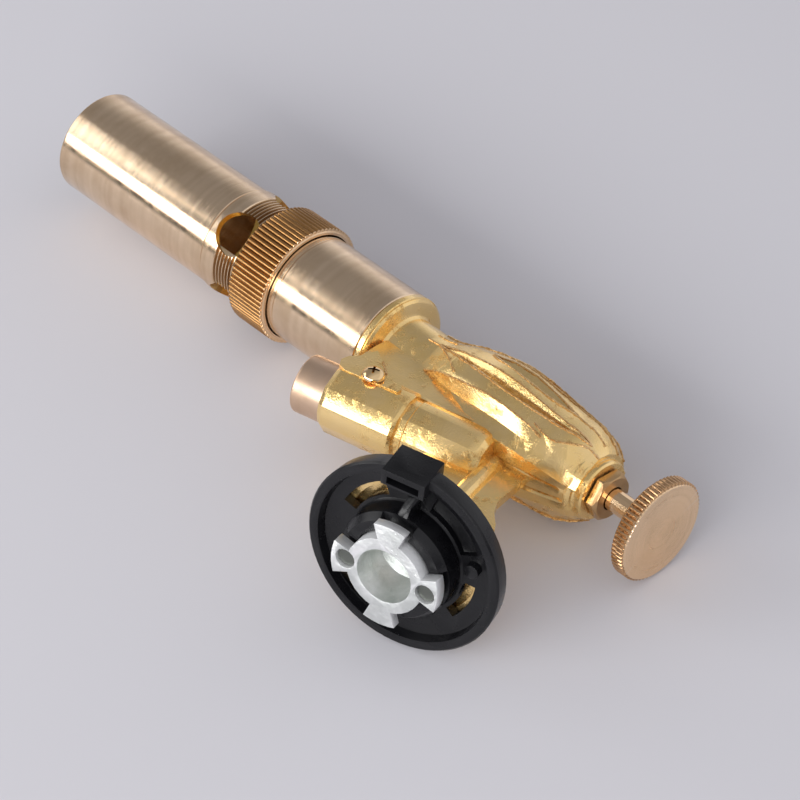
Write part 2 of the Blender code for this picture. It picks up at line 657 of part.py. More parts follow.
def bar_along(name, path, radius, sides=8, across=(0.0, 1.0, 0.0)):
    """Round bar along a bent path of torch points, across it the direction it never bends."""
    points = []
    rows = []
    path = [Vector(p) for p in path]
    side = Vector(across)
    for i, point in enumerate(path):
        before = path[max(i - 1, 0)]
        after = path[min(i + 1, len(path) - 1)]
        along = (after - before).normalized()
        up = along.cross(side).normalized()
        stretch = 1.0
        if 0 < i < len(path) - 1:
            turn = (point - before).normalized().dot((after - point).normalized())
            stretch = 1.0 / math.sqrt(max((1.0 + turn) / 2.0, MITRE_LIMIT_SHARE))
        row = []
        for k in range(sides):
            angle = math.tau * k / sides
            offset = side * (radius * math.cos(angle)) + up * (radius * stretch * math.sin(angle))
            row.append(len(points))
            points.append(tuple(point + offset))
        rows.append(row)
    return solid(name, points, skin_rows(rows, False))


def bake(target, cutters, operation):
    """Apply exact Booleans one by one, then drop the tools."""
    for tool in cutters:
        modifier = target.modifiers.new("cut", 'BOOLEAN')
        modifier.operation = operation
        modifier.solver = 'EXACT'
        modifier.object = tool
        bpy.context.view_layer.update()
        graph = bpy.context.evaluated_depsgraph_get()
        mesh = bpy.data.meshes.new_from_object(target.evaluated_get(graph))
        target.modifiers.remove(modifier)
        old = target.data
        target.data = mesh
        bpy.data.meshes.remove(old)
        bpy.data.objects.remove(tool)
    bm = bmesh.new()
    bm.from_mesh(target.data)
    bmesh.ops.remove_doubles(bm, verts=bm.verts, dist=WELD)
    bmesh.ops.dissolve_degenerate(bm, edges=bm.edges, dist=WELD)
    bmesh.ops.dissolve_limit(bm, angle_limit=FLAT_ANGLE, verts=bm.verts, edges=bm.edges)
    bm.to_mesh(target.data)
    bm.free()
    return target


def cut(target, *cutters):
    return bake(target, cutters, 'DIFFERENCE')


def join(target, *pieces):
    return bake(target, pieces, 'UNION')


def finish(obj, kind, frame=CARTRIDGE, sharp_deg=SHARP_DEG):
    """Own material, smooth shading, and an origin on the piece's own axis."""
    obj.data.transform(frame.inverted())
    obj.matrix_local = frame
    colour, metallic, roughness = COLOURS[kind]
    own = bpy.data.materials.new(obj.name)
    own.use_nodes = True
    shader = own.node_tree.nodes["Principled BSDF"]
    shader.inputs["Base Color"].default_value = (*colour, 1.0)
    shader.inputs["Metallic"].default_value = metallic
    shader.inputs["Roughness"].default_value = roughness
    obj.data.materials.clear()
    obj.data.materials.append(own)
    obj.data.shade_smooth()
    obj.data.set_sharp_from_angle(angle=math.radians(sharp_deg))
    return obj


def lookup(table, place):
    places = [row[0] for row in table]
    values = [row[1] for row in table]
    return float(np.interp(place, places, values))


def scaled(shares, along, across, start=0.0):
    """Pairs of shares as (place, size) in metres."""
    return [(start + along * share, across * size) for share, size in shares]


# Casting
def leaf(place, span):
    """Rise from nothing to one and back between the two ends of a span."""
    share = (place - span[0]) / (span[1] - span[0])
    if share <= 0.0 or share >= 1.0:
        return 0.0
    return math.sin(math.pi * share) ** LEAF_POWER_SHARE


def bulge_columns(place):
    """Half section at a share of the length, underside to top: (angle in degrees, radius)."""
    full = BULGE_RADIUS * lookup(BULGE_SHARES, place)
    edge = BULGE_RADIUS * lookup(EDGE_SHARES, place)
    under = BULGE_RADIUS * lookup(UNDERSIDE_SHARES, place)
    ridge = lookup(RIDGE_SHARES, place)
    keel = lookup(KEEL_SHARES, place)
    facet = lookup(FACET_SHARES, place)
    sink = FLANK_SINK_DEPTH * leaf(place, FLANK_SINK_SHARES)
    slot = SLOT_DEPTH * leaf(place, SLOT_SHARES)
    long_half = FLUTE_EDGE_DEG + LONG_FLUTE_HALF_DEG * leaf(place, LONG_FLUTE_SHARES)
    short_half = FLUTE_EDGE_DEG + SHORT_FLUTE_HALF_DEG * leaf(place, SHORT_FLUTE_SHARES)
    long_deep = LONG_FLUTE_DEPTH * leaf(place, LONG_FLUTE_SHARES)
    short_deep = SHORT_FLUTE_DEPTH * leaf(place, SHORT_FLUTE_SHARES)
    low = min(edge, under)
    middle = (keel + ridge) / 2.0
    half = math.radians((ridge - keel) / 2.0)
    first = lookup(FIRST_FLUTE_SHARES, place)
    lower_edge = first - long_half
    facet = max(min(facet, lower_edge - FLUTE_EDGE_DEG), ridge + FLUTE_EDGE_DEG)
    columns = [
        (-90.0, low),
        (SLOT_ANGLE_DEG - SLOT_HALF_DEG, low),
        (SLOT_ANGLE_DEG, low - slot),
        (SLOT_ANGLE_DEG + SLOT_HALF_DEG, (low + edge) / 2.0),
        (keel, edge),
        (middle, edge * math.cos(half) - sink),
        (ridge, edge),
        (facet, full),
        (lower_edge, full),
        (first, full - long_deep),
        (first + long_half, full),
    ]
    for centre, half_width, deep in (
        (SHORT_FLUTES_DEG[0], short_half, short_deep),
        (LONG_FLUTES_DEG[0], long_half, long_deep),
        (SHORT_FLUTES_DEG[1], short_half, short_deep),
    ):
        columns.append((centre - half_width, full))
        columns.append((centre, full - deep))
        columns.append((centre + half_width, full))
    columns.append((LONG_FLUTES_DEG[1] - long_half, full))
    columns.append((LONG_FLUTES_DEG[1], full - long_deep))
    return columns


def bulge(name):
    points = []
    rows = []
    for place, _ in BULGE_SHARES:
        half = bulge_columns(place)
        section = half + [(180.0 - angle, radius) for angle, radius in reversed(half[1:-1])]
        row = []
        for angle, radius in section:
            x, y = polar(radius, angle)
            row.append(len(points))
            points.append((x, y, BULGE_LENGTH * place))
        rows.append(row)
    return solid(name, points, skin_rows(rows, False), BODY)


def mirrored_edges(edges_deg):
    """Housing section: listed lower corners on both sides, round over the top."""
    lower = list(edges_deg)
    other = [-180.0 - angle for angle in reversed(lower)]
    top = [180.0 * (1.0 - k / HOUSING_TOP_STEPS) for k in range(1, HOUSING_TOP_STEPS)]
    return lower + other + top


def beside_igniter(shares):
    """Outline in torch x and z around the igniter housing."""
    return [(HOUSING_END * along, IGNITER_HEIGHT + HOUSING_RADIUS * up) for along, up in shares]


def make_casting():
    casting = bulge("body_casting")
    seat = [(SPIGOT_END, SPIGOT_RADIUS), (SEAT_FACE, SPIGOT_RADIUS)]
    seat.append((SEAT_FACE, SEAT_LIP_RADIUS))
    seat.extend(scaled(SEAT_SHARES, SEAT_DEPTH, SEAT_LIP_RADIUS, NECK_END))
    seat.append((NECK_END, NECK_RADIUS))
    seat.append((NECK_END - NECK_HIDDEN_LENGTH, NECK_HIDDEN_RADIUS))
    neck = lathe("neck", tuple(reversed(seat)), SEGMENTS_LARGE, BODY)
    boss_profile = scaled(BOSS_SHARES, BOSS_LENGTH, BOSS_RADIUS, BOSS_END)
    last_place, last_radius = boss_profile[-1]
    boss_profile.append((last_place + BOSS_ROOT_LENGTH, last_radius))
    boss = lathe("boss", boss_profile, SEGMENTS_MEDIUM, BODY)
    housing = polygon_rows("housing", scaled(HOUSING_SHARES, HOUSING_LENGTH, HOUSING_RADIUS,
                                             HOUSING_START),
                           mirrored_edges(HOUSING_EDGES_DEG), IGNITER)
    barrel = polygon_rows("code_barrel", scaled(CODE_BARREL_SHARES, HOUSING_START,
                                                CODE_BARREL_RADIUS),
                          mirrored_edges(CODE_BARREL_EDGES_DEG), IGNITER)
    pads = side_prism("pads", beside_igniter(PAD_SHARES), PAD_HALF_WIDTH)
    web = side_prism("web", beside_igniter(WEB_SHARES), WEB_HALF_WIDTH)
    leg = side_prism("leg", scaled(LEG_SHARES, BASE_FLANGE_RADIUS, IGNITER_HEIGHT), LEG_HALF_WIDTH)
    column_radii = (COLUMN_FOOT_RADIUS, COLUMN_ROOT_RADIUS, COLUMN_TOP_RADIUS)
    column = lathe("column", [(IGNITER_HEIGHT * share, radius)
                              for share, radius in zip(COLUMN_SHARES, column_radii)], SEGMENTS_SMALL)
    base = cylinder("base", BASE_FLANGE_FRONT, BASE_FLANGE_BACK, BASE_FLANGE_RADIUS, SEGMENTS_LARGE)
    join(casting, neck, boss, barrel, housing, pads, web, leg, column, base)

    jet_socket = cylinder("tool", JET_SOCKET_START, SPIGOT_END + CUT_PAST, JET_SOCKET_RADIUS,
                          SEGMENTS_SMALL, BODY)
    bore = lathe("tool", (
        (GLAND_HEX_START - CUT_PAST, GLAND_BORE_RADIUS),
        (GLAND_BORE_END, GLAND_BORE_RADIUS),
        (GLAND_BORE_END, SPINDLE_BORE_RADIUS),
        (SPINDLE_BORE_END, SPINDLE_BORE_RADIUS),
        (SPINDLE_BORE_END, PASSAGE_RADIUS),
        (JET_SOCKET_START + CUT_PAST, PASSAGE_RADIUS),
    ), SEGMENTS_SMALL, BODY)
    igniter_bore = lathe("tool", (
        (PIEZO_BORE_START, PIEZO_BORE_RADIUS),
        (CAP_BORE_START, PIEZO_BORE_RADIUS),
        (CAP_BORE_START, CAP_BORE_RADIUS),
        (CAP_START + CUT_FAR, CAP_BORE_RADIUS),
    ), SEGMENTS_MEDIUM, IGNITER)
    inlet = lathe("tool", (
        (BASE_FLANGE_FRONT - CUT_PAST, INLET_BORE_RADIUS),
        (INLET_BORE_TOP, INLET_BORE_RADIUS),
        (INLET_BORE_TOP, RISER_RADIUS),
        (AXIS_HEIGHT, RISER_RADIUS),
    ), SEGMENTS_SMALL)
    channel = bar_along("tool", lead_path(LEAD_CHANNEL_PAST), LEAD_CHANNEL_RADIUS, 12)
    screw_hole = cylinder("tool", -PAD_HALF_WIDTH - CUT_PAST, PAD_HALF_WIDTH + CUT_PAST,
                          SCREW_HOLE_RADIUS, SEGMENTS_SMALL, screw_frame(1.0, 0.0))
    recess_inner, recess_outer = (BASE_FLANGE_RADIUS * share for share in BASE_RECESS_SHARES)
    recess = lathe("tool", (
        (BASE_FLANGE_FRONT - CUT_PAST, recess_inner),
        (BASE_FLANGE_FRONT - CUT_PAST, recess_outer),
        (BASE_RECESS_FLOOR, recess_outer),
        (BASE_RECESS_FLOOR, recess_inner),
    ), SEGMENTS_LARGE, CARTRIDGE, ring=True)
    tools = [bore, jet_socket, igniter_bore, inlet, channel, screw_hole, recess]
    for x in INSERT_SCREW_X:
        where = Matrix.Translation((x, INSERT_SCREW_Y, 0.0))
        tools.append(cylinder("tool", BASE_FLANGE_FRONT - CUT_PAST, BASE_FLANGE_BACK + CUT_PAST,
                              SCREW_BODY_HOLE, SEGMENTS_SMALL, where))
    cut(casting, *tools)
    return finish(casting, "casting")


def on_axis(place, radius, angle_deg):
    x, y = polar(radius, angle_deg)
    return BODY @ Vector((x, y, place))


def lead_path(past):
    """Straight way from the igniter bore up to the front of the barrel spigot."""
    foot = Vector((HOUSING_END * LEAD_FOOT_SHARE, 0.0, IGNITER_HEIGHT + LEAD_FOOT_RISE))
    head = on_axis(LEAD_BEND_PLACE, LEAD_OFFSET, -90.0)
    along = (head - foot).normalized()
    return [foot - along * past, head + along * past]


def screw_frame(side, seat):
    """Local z points out of the pad on the given side."""
    out = Vector((0.0, side, 0.0))
    across = Vector((1.0, 0.0, 0.0))
    up = out.cross(across)
    matrix = Matrix((across, up, out)).transposed().to_4x4()
    matrix.translation = Vector((SCREW_X, side * seat, SCREW_Z))
    return matrix


def make_housing_screw(name, side):
    frame = screw_frame(side, 0.0)
    head_top = SCREW_SEAT_Y + SCREW_HEAD_HEIGHT
    profile = [(SCREW_SHANK_END_Y, SCREW_SHANK_RADIUS), (SCREW_SEAT_Y, SCREW_SHANK_RADIUS)]
    for share in HEAD_DOME_SHARES:
        radius = SCREW_HEAD_RADIUS * math.sqrt(1.0 - share * share)
        profile.append((SCREW_SEAT_Y + SCREW_HEAD_HEIGHT * share, radius))
    screw = lathe(name, profile, SEGMENTS_SMALL, frame)
    low = head_top - SCREW_SLOT_DEPTH
    high = head_top + CUT_PAST
    half_long = SCREW_SLOT_LENGTH / 2.0
    half_wide = SCREW_SLOT_WIDTH / 2.0
    cross = (
        (half_long, -half_wide), (half_long, half_wide), (half_wide, half_wide),
        (half_wide, half_long), (-half_wide, half_long), (-half_wide, half_wide),
        (-half_long, half_wide), (-half_long, -half_wide), (-half_wide, -half_wide),
        (-half_wide, -half_long), (half_wide, -half_long), (half_wide, -half_wide),
    )
    cut(screw, prism("tool", cross, low, high, frame))
    return finish(screw, "casting", frame)


# Barrel group
def make_barrel():
    profile = (
        (BARREL_START, BARREL_BORE),
        (BARREL_START, BARREL_RADIUS),
        (BARREL_END, BARREL_RADIUS),
        (BARREL_END, BARREL_SPIGOT_RADIUS),
        (BARREL_SPIGOT_END, BARREL_SPIGOT_RADIUS),
        (BARREL_SPIGOT_END, BARREL_SPIGOT_BORE),
        (BARREL_END, BARREL_SPIGOT_BORE),
        (BARREL_END - BARREL_BORE_STEP, BARREL_BORE),
    )
    barrel = lathe("rear_barrel", profile, SEGMENTS_LARGE, BODY, ring=True)
    tools = []
    for angle in AIR_HOLE_ANGLES_DEG:
        x, y = polar(1.0, angle)
        out = BODY.to_3x3() @ Vector((x, y, 0.0))
        along = BODY.to_3x3() @ Vector((0.0, 0.0, 1.0))
        across = along.cross(out)
        frame = Matrix((along, across, out)).transposed().to_4x4()
        frame.translation = BODY @ Vector((0.0, 0.0, AIR_HOLE_PLACE))
        tools.append(cylinder("tool", BARREL_BORE / 2.0, BARREL_RADIUS + CUT_PAST, AIR_HOLE_RADIUS,
                              SEGMENTS_SMALL, frame))
    cut(barrel, *tools)
    return finish(barrel, "tube", BODY)


def make_flame_tube():
    lip = FLAME_TUBE_LIP
    rounding = [(FLAME_TUBE_END - lip * along, FLAME_TUBE_RADIUS - lip * inward)
                for along, inward in LIP_ROUND_SHARES]
    profile = (
        (FLAME_TUBE_START, FLAME_TUBE_BORE),
        (FLAME_TUBE_START, FLAME_TUBE_RADIUS),
        *rounding,
        (FLAME_TUBE_END, FLAME_TUBE_BORE),
    )
    return finish(lathe("flame_tube", profile, SEGMENTS_LARGE, BODY, ring=True), "tube", BODY)


def make_air_ring():
    levels = (
        (RING_START, RING_LIP_RADIUS, RING_LIP_RADIUS),
        (RING_START + RING_EDGE, RING_RADIUS, RING_ROOT_RADIUS),
        (RING_END - RING_EDGE, RING_RADIUS, RING_ROOT_RADIUS),
        (RING_END, RING_LIP_RADIUS, RING_LIP_RADIUS),
    )
    ring = knurled("air_ring", levels, RING_TEETH, BODY, ring=False)
    cut(ring, lathe("tool", (
        (RING_START - CUT_PAST, RING_BORE),
        (RING_SEAL_START - CLEARANCE, RING_BORE),
        (RING_SEAL_START - CLEARANCE, RING_GROOVE_RADIUS),
        (RING_SEAL_END + CLEARANCE, RING_GROOVE_RADIUS),
        (RING_SEAL_END + CLEARANCE, RING_BORE),
        (RING_END + CUT_PAST, RING_BORE),
    ), SEGMENTS_LARGE, BODY))
    return finish(ring, "bronze", BODY, sharp_deg=KNURL_SHARP_DEG)


def hollow(name, kind, outer, inner, start, end, segments, frame):
    profile = ((start, inner), (start, outer), (end, outer), (end, inner))
    return finish(lathe(name, profile, segments, frame, ring=True), kind, frame)


def make_jet():
    profile = (
        (JET_TUBE_START, JET_TUBE_BORE),
        (JET_TUBE_START, JET_TUBE_RADIUS),
        (JET_COLLAR_START, JET_TUBE_RADIUS),
        (JET_COLLAR_START, JET_COLLAR_RADIUS),
        (JET_COLLAR_END, JET_COLLAR_RADIUS),
        (JET_COLLAR_END, JET_TUBE_RADIUS),
        (JET_TUBE_END, JET_TUBE_RADIUS),
        (JET_TUBE_END, JET_TUBE_BORE),
    )
    finish(lathe("jet_tube", profile, SEGMENTS_SMALL, BODY, ring=True), "tube", BODY)
    profile = (
        (JET_NOZZLE_START, JET_TUBE_BORE),
        (JET_NOZZLE_START, JET_NOZZLE_RADIUS),
        (JET_NOZZLE_SHOULDER, JET_NOZZLE_RADIUS),
        (JET_NOZZLE_END, JET_NOZZLE_TIP_RADIUS),
        (JET_NOZZLE_END, JET_ORIFICE_RADIUS),
        (JET_NOZZLE_SHOULDER, JET_ORIFICE_RADIUS),
    )
    finish(lathe("jet_nozzle", profile, SEGMENTS_SMALL, BODY, ring=True), "tube", BODY)


def make_flame_holder():
    holder = cylinder("flame_holder", HOLDER_START, HOLDER_END, HOLDER_RADIUS, SEGMENTS_MEDIUM, BODY)
    tools = [cylinder("tool", HOLDER_START - CUT_PAST, HOLDER_END + CUT_PAST, HOLDER_CENTRE_RADIUS,
                      SEGMENTS_SMALL // 2, BODY)]
    for i in range(HOLDER_PORTS):
        x, y = polar(HOLDER_RADIUS * HOLDER_PORT_CIRCLE_SHARE, 360.0 * (i + 0.5) / HOLDER_PORTS)
        frame = BODY @ Matrix.Translation((x, y, 0.0))
        tools.append(cylinder("tool", HOLDER_START - CUT_PAST, HOLDER_END + CUT_PAST,
                              HOLDER_PORT_RADIUS, SEGMENTS_SMALL // 2, frame))
    cut(holder, *tools)
    return finish(holder, "steel", BODY)


def make_electrode():
    path = lead_path(0.0)
    path.append(on_axis(INSULATOR_END, LEAD_OFFSET, -90.0))
    finish(bar_along("electrode_insulator", path, INSULATOR_RADIUS), "ceramic")
    wire = [
        on_axis(INSULATOR_END + CLEARANCE, LEAD_OFFSET, -90.0),
        on_axis(ELECTRODE_BEND_PLACE, LEAD_OFFSET, -90.0),
        on_axis(ELECTRODE_TIP_PLACE, LEAD_OFFSET * ELECTRODE_TIP_SHARE, -90.0),
    ]
    finish(bar_along("electrode", wire, ELECTRODE_RADIUS, 6), "steel")


# Valve group
def make_valve():
    hollow("valve_seat", "tube", SEAT_RADIUS, SEAT_BORE, SEAT_START, SEAT_END, SEGMENTS_SMALL, BODY)
    profile = (
        (SPINDLE_OUTER_END, SPINDLE_RADIUS),
        (SPINDLE_STEP, SPINDLE_RADIUS),
        (SPINDLE_STEP, SPINDLE_INNER_RADIUS),
        (SPINDLE_GROOVE_START, SPINDLE_INNER_RADIUS),
        (SPINDLE_GROOVE_START, SPINDLE_GROOVE_RADIUS),
        (SPINDLE_GROOVE_END, SPINDLE_GROOVE_RADIUS),
        (SPINDLE_GROOVE_END, SPINDLE_INNER_RADIUS),
        (SPINDLE_CONE_START, SPINDLE_INNER_RADIUS),
        (SPINDLE_CONE_END, SPINDLE_NEEDLE_RADIUS),
        (SPINDLE_NEEDLE_END, SPINDLE_NEEDLE_RADIUS),
    )
    finish(lathe("spindle", profile, SEGMENTS_SMALL, BODY), "knob", BODY)
    hollow("spindle_seal", "rubber", SEAL_RADIUS, SEAL_BORE, SEAL_START, SEAL_END, SEGMENTS_SMALL,
           BODY)
    hollow("gland_packing", "rubber", PACKING_RADIUS, PACKING_BORE, PACKING_START, PACKING_END,
           SEGMENTS_SMALL, BODY)
    nut = lathe("gland_nut", (
        (GLAND_HEX_START, GLAND_FACE_RADIUS),
        (GLAND_HEX_START + GLAND_HEX_BEVEL, GLAND_HEX_RADIUS),
        (GLAND_HEX_END, GLAND_HEX_RADIUS),
    ), 6, BODY)
    shank = cylinder("tool", GLAND_HEX_END - CUT_PAST, GLAND_SHANK_END, GLAND_SHANK_RADIUS,
                     SEGMENTS_SMALL, BODY)
    join(nut, shank)
    cut(nut, cylinder("tool", GLAND_HEX_START - CUT_PAST, GLAND_SHANK_END + CUT_PAST, GLAND_BORE,
                      SEGMENTS_SMALL, BODY))
    finish(nut, "bronze", BODY)
    levels = (
        (KNOB_FACE, KNOB_ROOT_RADIUS, KNOB_ROOT_RADIUS),
        (KNOB_FACE + KNOB_EDGE, KNOB_RADIUS, KNOB_ROOT_RADIUS),
        (KNOB_BACK - KNOB_EDGE, KNOB_RADIUS, KNOB_ROOT_RADIUS),
        (KNOB_BACK, KNOB_ROOT_RADIUS, KNOB_ROOT_RADIUS),
    )
    knob = knurled("knob", levels, KNOB_TEETH, BODY, ring=False)
    cut(knob, cylinder("tool", KNOB_HOLE_END, KNOB_BACK + CUT_PAST, KNOB_HOLE_RADIUS,
                       SEGMENTS_SMALL, BODY))
    finish(knob, "knob", BODY, sharp_deg=KNURL_SHARP_DEG)


# Igniter group
def make_igniter():
    rounding = CAP_EDGE * CAP_ROUND_SHARE
    finish(lathe("piezo_body", (
        (PIEZO_START, PIEZO_RADIUS),
        (PIEZO_END, PIEZO_RADIUS),
        (PIEZO_END, PIEZO_BORE),
        (PIEZO_FLOOR, PIEZO_BORE),
    ), SEGMENTS_SMALL, IGNITER), "plastic", IGNITER)
    finish(cylinder("piezo_plunger", PLUNGER_START, PLUNGER_END, PLUNGER_RADIUS, SEGMENTS_SMALL,
                    IGNITER), "plastic", IGNITER)
    finish(lathe("button_cap", (
        (CAP_FLOOR, CAP_BORE),
        (CAP_START, CAP_BORE),
        (CAP_START, CAP_RADIUS),
        (CAP_END - CAP_EDGE, CAP_RADIUS),
        (CAP_END - rounding, CAP_RADIUS - rounding),
        (CAP_END, CAP_RADIUS - CAP_EDGE),
    ), SEGMENTS_MEDIUM, IGNITER), "tube", IGNITER)


# Cartridge end
def cross_prism(name, outline, low_x, high_x):
    """Outline in torch y and z, drawn along x."""
    count = len(outline)
    points = [(low_x, y, z) for y, z in outline] + [(high_x, y, z) for y, z in outline]
    rows = [list(range(count)), list(range(count, count + count))]
    return solid(name, points, skin_rows(rows, False))


def tab_block(name):
    """Hollow tab on the rim, whose outer face rises toward the back."""
    low_y, high_y = TAB_Y
    front, back = TAB_Z
    outline = ((low_y, front), (high_y, front), (TAB_BACK_Y, back), (low_y, back))
    return cross_prism(name, outline, *TAB_X)


def between_hub_and_rim(share):
    return DISC_HUB_RADIUS + (DISC_FLOOR_RADIUS - DISC_HUB_RADIUS) * share


def make_finger():
    """Leaning round rib on a thin web, from the upper hub slot out to the floor."""
    crest = [(between_hub_and_rim(out), DISC_HUB_FRONT * high) for out, high in FINGER_SHARES]
    foot = DISC_FLOOR + CUT_PAST
    outline = [(crest[0][0], foot)] + crest + [(crest[-1][0], foot)]
    web = cross_prism("finger", outline, FINGER_X - FINGER_HALF_WIDTH, FINGER_X + FINGER_HALF_WIDTH)
    round_path = []
    for k, (out, high) in enumerate(crest[1:]):
        x = FINGER_X + FINGER_LEAN * (0.5 - k / (len(crest) - 2))
        round_path.append((x, out, high + FINGER_ROUND_RADIUS))
    return web, bar_along("finger_round", round_path, FINGER_ROUND_RADIUS, 12, (1.0, 0.0, 0.0))


def make_disc():
    disc = lathe("collar_disc", (
        (DISC_BACK, DISC_HUB_BORE),
        (DISC_HUB_FRONT, DISC_HUB_BORE),
        (DISC_HUB_FRONT, DISC_HUB_TOP_RADIUS),
        (DISC_HUB_SHOULDER, DISC_HUB_RADIUS),
        (DISC_FLOOR - DISC_EDGE, DISC_HUB_RADIUS),
        (DISC_FLOOR, DISC_HUB_RADIUS + DISC_EDGE),
        (DISC_FLOOR, DISC_FLOOR_RADIUS),
        (0.0, DISC_RIM_BORE),
        (0.0, DISC_RADIUS - DISC_EDGE),
        (DISC_EDGE, DISC_RADIUS),
        (DISC_BACK - DISC_EDGE, DISC_BACK_RADIUS),
        (DISC_BACK, DISC_BACK_RADIUS - DISC_EDGE),
    ), DISC_SEGMENTS, CARTRIDGE, ring=True)
    tab = tab_block("tab")
    boss_x, boss_y = (DISC_FLOOR_RADIUS * share for share in DISC_BOSS_SHARES)
    boss = cylinder("boss", DISC_BOSS_FRONT, DISC_BACK - DISC_EDGE, DISC_BOSS_RADIUS,
                    SEGMENTS_SMALL // 2, Matrix.Translation((boss_x, boss_y, 0.0)))
    join(disc, tab, boss, *make_finger())
    tools = []
    low_x, high_x = TAB_SLOT_X
    low_y, high_y = TAB_SLOT_Y
    tools.append(prism("tool", ((low_x, low_y), (high_x, low_y), (high_x, high_y), (low_x, high_y)),
                       TAB_FRONT - CUT_PAST, TAB_SLOT_END))
    for middle, half in HUB_SLOTS_DEG:
        tools.append(sector("tool", DISC_HUB_BORE - CUT_PAST, DISC_HUB_RADIUS + CUT_PAST,
                            middle - half, middle + half, DISC_HUB_FRONT - CUT_PAST, HUB_SLOT_FLOOR, 4))
    openings = [(*shares, DISC_BACK + CUT_PAST) for shares in WINDOW_SHARES]
    openings.append((*POCKET_SHARES, POCKET_FLOOR))
    for inner, outer, start, end, floor in openings:
        tools.append(sector("tool", between_hub_and_rim(inner), between_hub_and_rim(outer), start, end,
                            DISC_FLOOR - CUT_PAST, floor, 6))
    for x in INSERT_SCREW_X:
        tools.append(cylinder("tool", DISC_HUB_FRONT - CUT_PAST, DISC_BACK + CUT_PAST,
                              SCREW_BODY_HOLE, SEGMENTS_SMALL,
                              Matrix.Translation((x, INSERT_SCREW_Y, 0.0))))
    cut(disc, *tools)
    return finish(disc, "plastic")


def lug(name, middle, root_half, tip_half, back):
    shares = [2.0 * k / LUG_TIP_STEPS - 1.0 for k in range(LUG_TIP_STEPS + 1)]
    tip = [polar(LUG_TIP_RADIUS, middle + tip_half * share) for share in shares]
    root = [polar(LUG_ROOT_RADIUS, middle + root_half), polar(LUG_ROOT_RADIUS, middle - root_half)]
    return prism(name, tip + root, INSERT_FACE, back)


def make_insert():
    insert = lathe("bayonet_insert", (
        (INSERT_BACK, INSERT_HOLE_RADIUS),
        (INSERT_FLOOR, INSERT_HOLE_RADIUS),
        (INSERT_FLOOR, INSERT_BORE),
        (INSERT_FACE, INSERT_BORE),
        (INSERT_FACE, INSERT_RADIUS),
        (INSERT_BACK, INSERT_RADIUS),
    ), SEGMENTS_MEDIUM, CARTRIDGE, ring=True)
    lugs = []
    for middle in PLAIN_LUGS_DEG:
        lugs.append(lug("lug", middle, PLAIN_LUG_ROOT_HALF_DEG, PLAIN_LUG_HALF_DEG, LUG_BACK))
    for middle in (SIDE_LUG_TURN_DEG, 180.0 + SIDE_LUG_TURN_DEG):
        lugs.append(lug("lug", middle, SIDE_LUG_ROOT_HALF_DEG, SIDE_LUG_HALF_DEG, SIDE_LUG_BACK))
    join(insert, *lugs)
    tools = [cylinder("tool", INSERT_FACE - CUT_PAST, INSERT_FLOOR, INSERT_BORE, SEGMENTS_MEDIUM)]
    for x in INSERT_SCREW_X:
        tools.append(lathe("tool", (
            (INSERT_FACE - CUT_PAST, INSERT_SCREW_POCKET),
            (INSERT_SCREW_SEAT, INSERT_SCREW_POCKET),
            (INSERT_SCREW_SEAT, SCREW_BODY_HOLE),
            (INSERT_BACK + CUT_PAST, SCREW_BODY_HOLE),
        ), SEGMENTS_SMALL, Matrix.Translation((x, INSERT_SCREW_Y, 0.0))))
    cut(insert, *tools)
    finish(insert, "zinc")
    for name, x in zip(("bayonet_screw_front", "bayonet_screw_rear"), INSERT_SCREW_X):
        where = Matrix.Translation((x, INSERT_SCREW_Y, 0.0))
        finish(lathe(name, (
            (INSERT_SCREW_FACE, INSERT_SCREW_RADIUS),
            (INSERT_SCREW_HEAD_BACK, INSERT_SCREW_RADIUS),
            (INSERT_SCREW_HEAD_BACK, SCREW_BODY_RADIUS),
            (SCREW_BODY_END, SCREW_BODY_RADIUS),
        ), SEGMENTS_SMALL, where), "steel", where)


def make_inlet():
    finish(lathe("inlet_nipple", (
        (NIPPLE_TIP, NIPPLE_BORE),
        (NIPPLE_TIP, NIPPLE_RADIUS - NIPPLE_EDGE),
        (NIPPLE_TIP + NIPPLE_EDGE, NIPPLE_RADIUS),
        (NIPPLE_END, NIPPLE_RADIUS),
        (NIPPLE_END, NIPPLE_BORE),
    ), SEGMENTS_SMALL, CARTRIDGE, ring=True), "tube")
    hollow("inlet_seal", "rubber", INLET_SEAL_RADIUS, INLET_SEAL_BORE, INLET_SEAL_FRONT,
           INLET_SEAL_BACK, SEGMENTS_SMALL, CARTRIDGE)
    finish(cylinder("inlet_filter", FILTER_START, FILTER_END, FILTER_RADIUS, SEGMENTS_SMALL), "steel")


# Resting pose
def circle_low(normal, centre, axis, radius):
    return normal.dot(centre) - radius * math.sqrt(max(1.0 - normal.dot(axis) ** 2, 0.0))


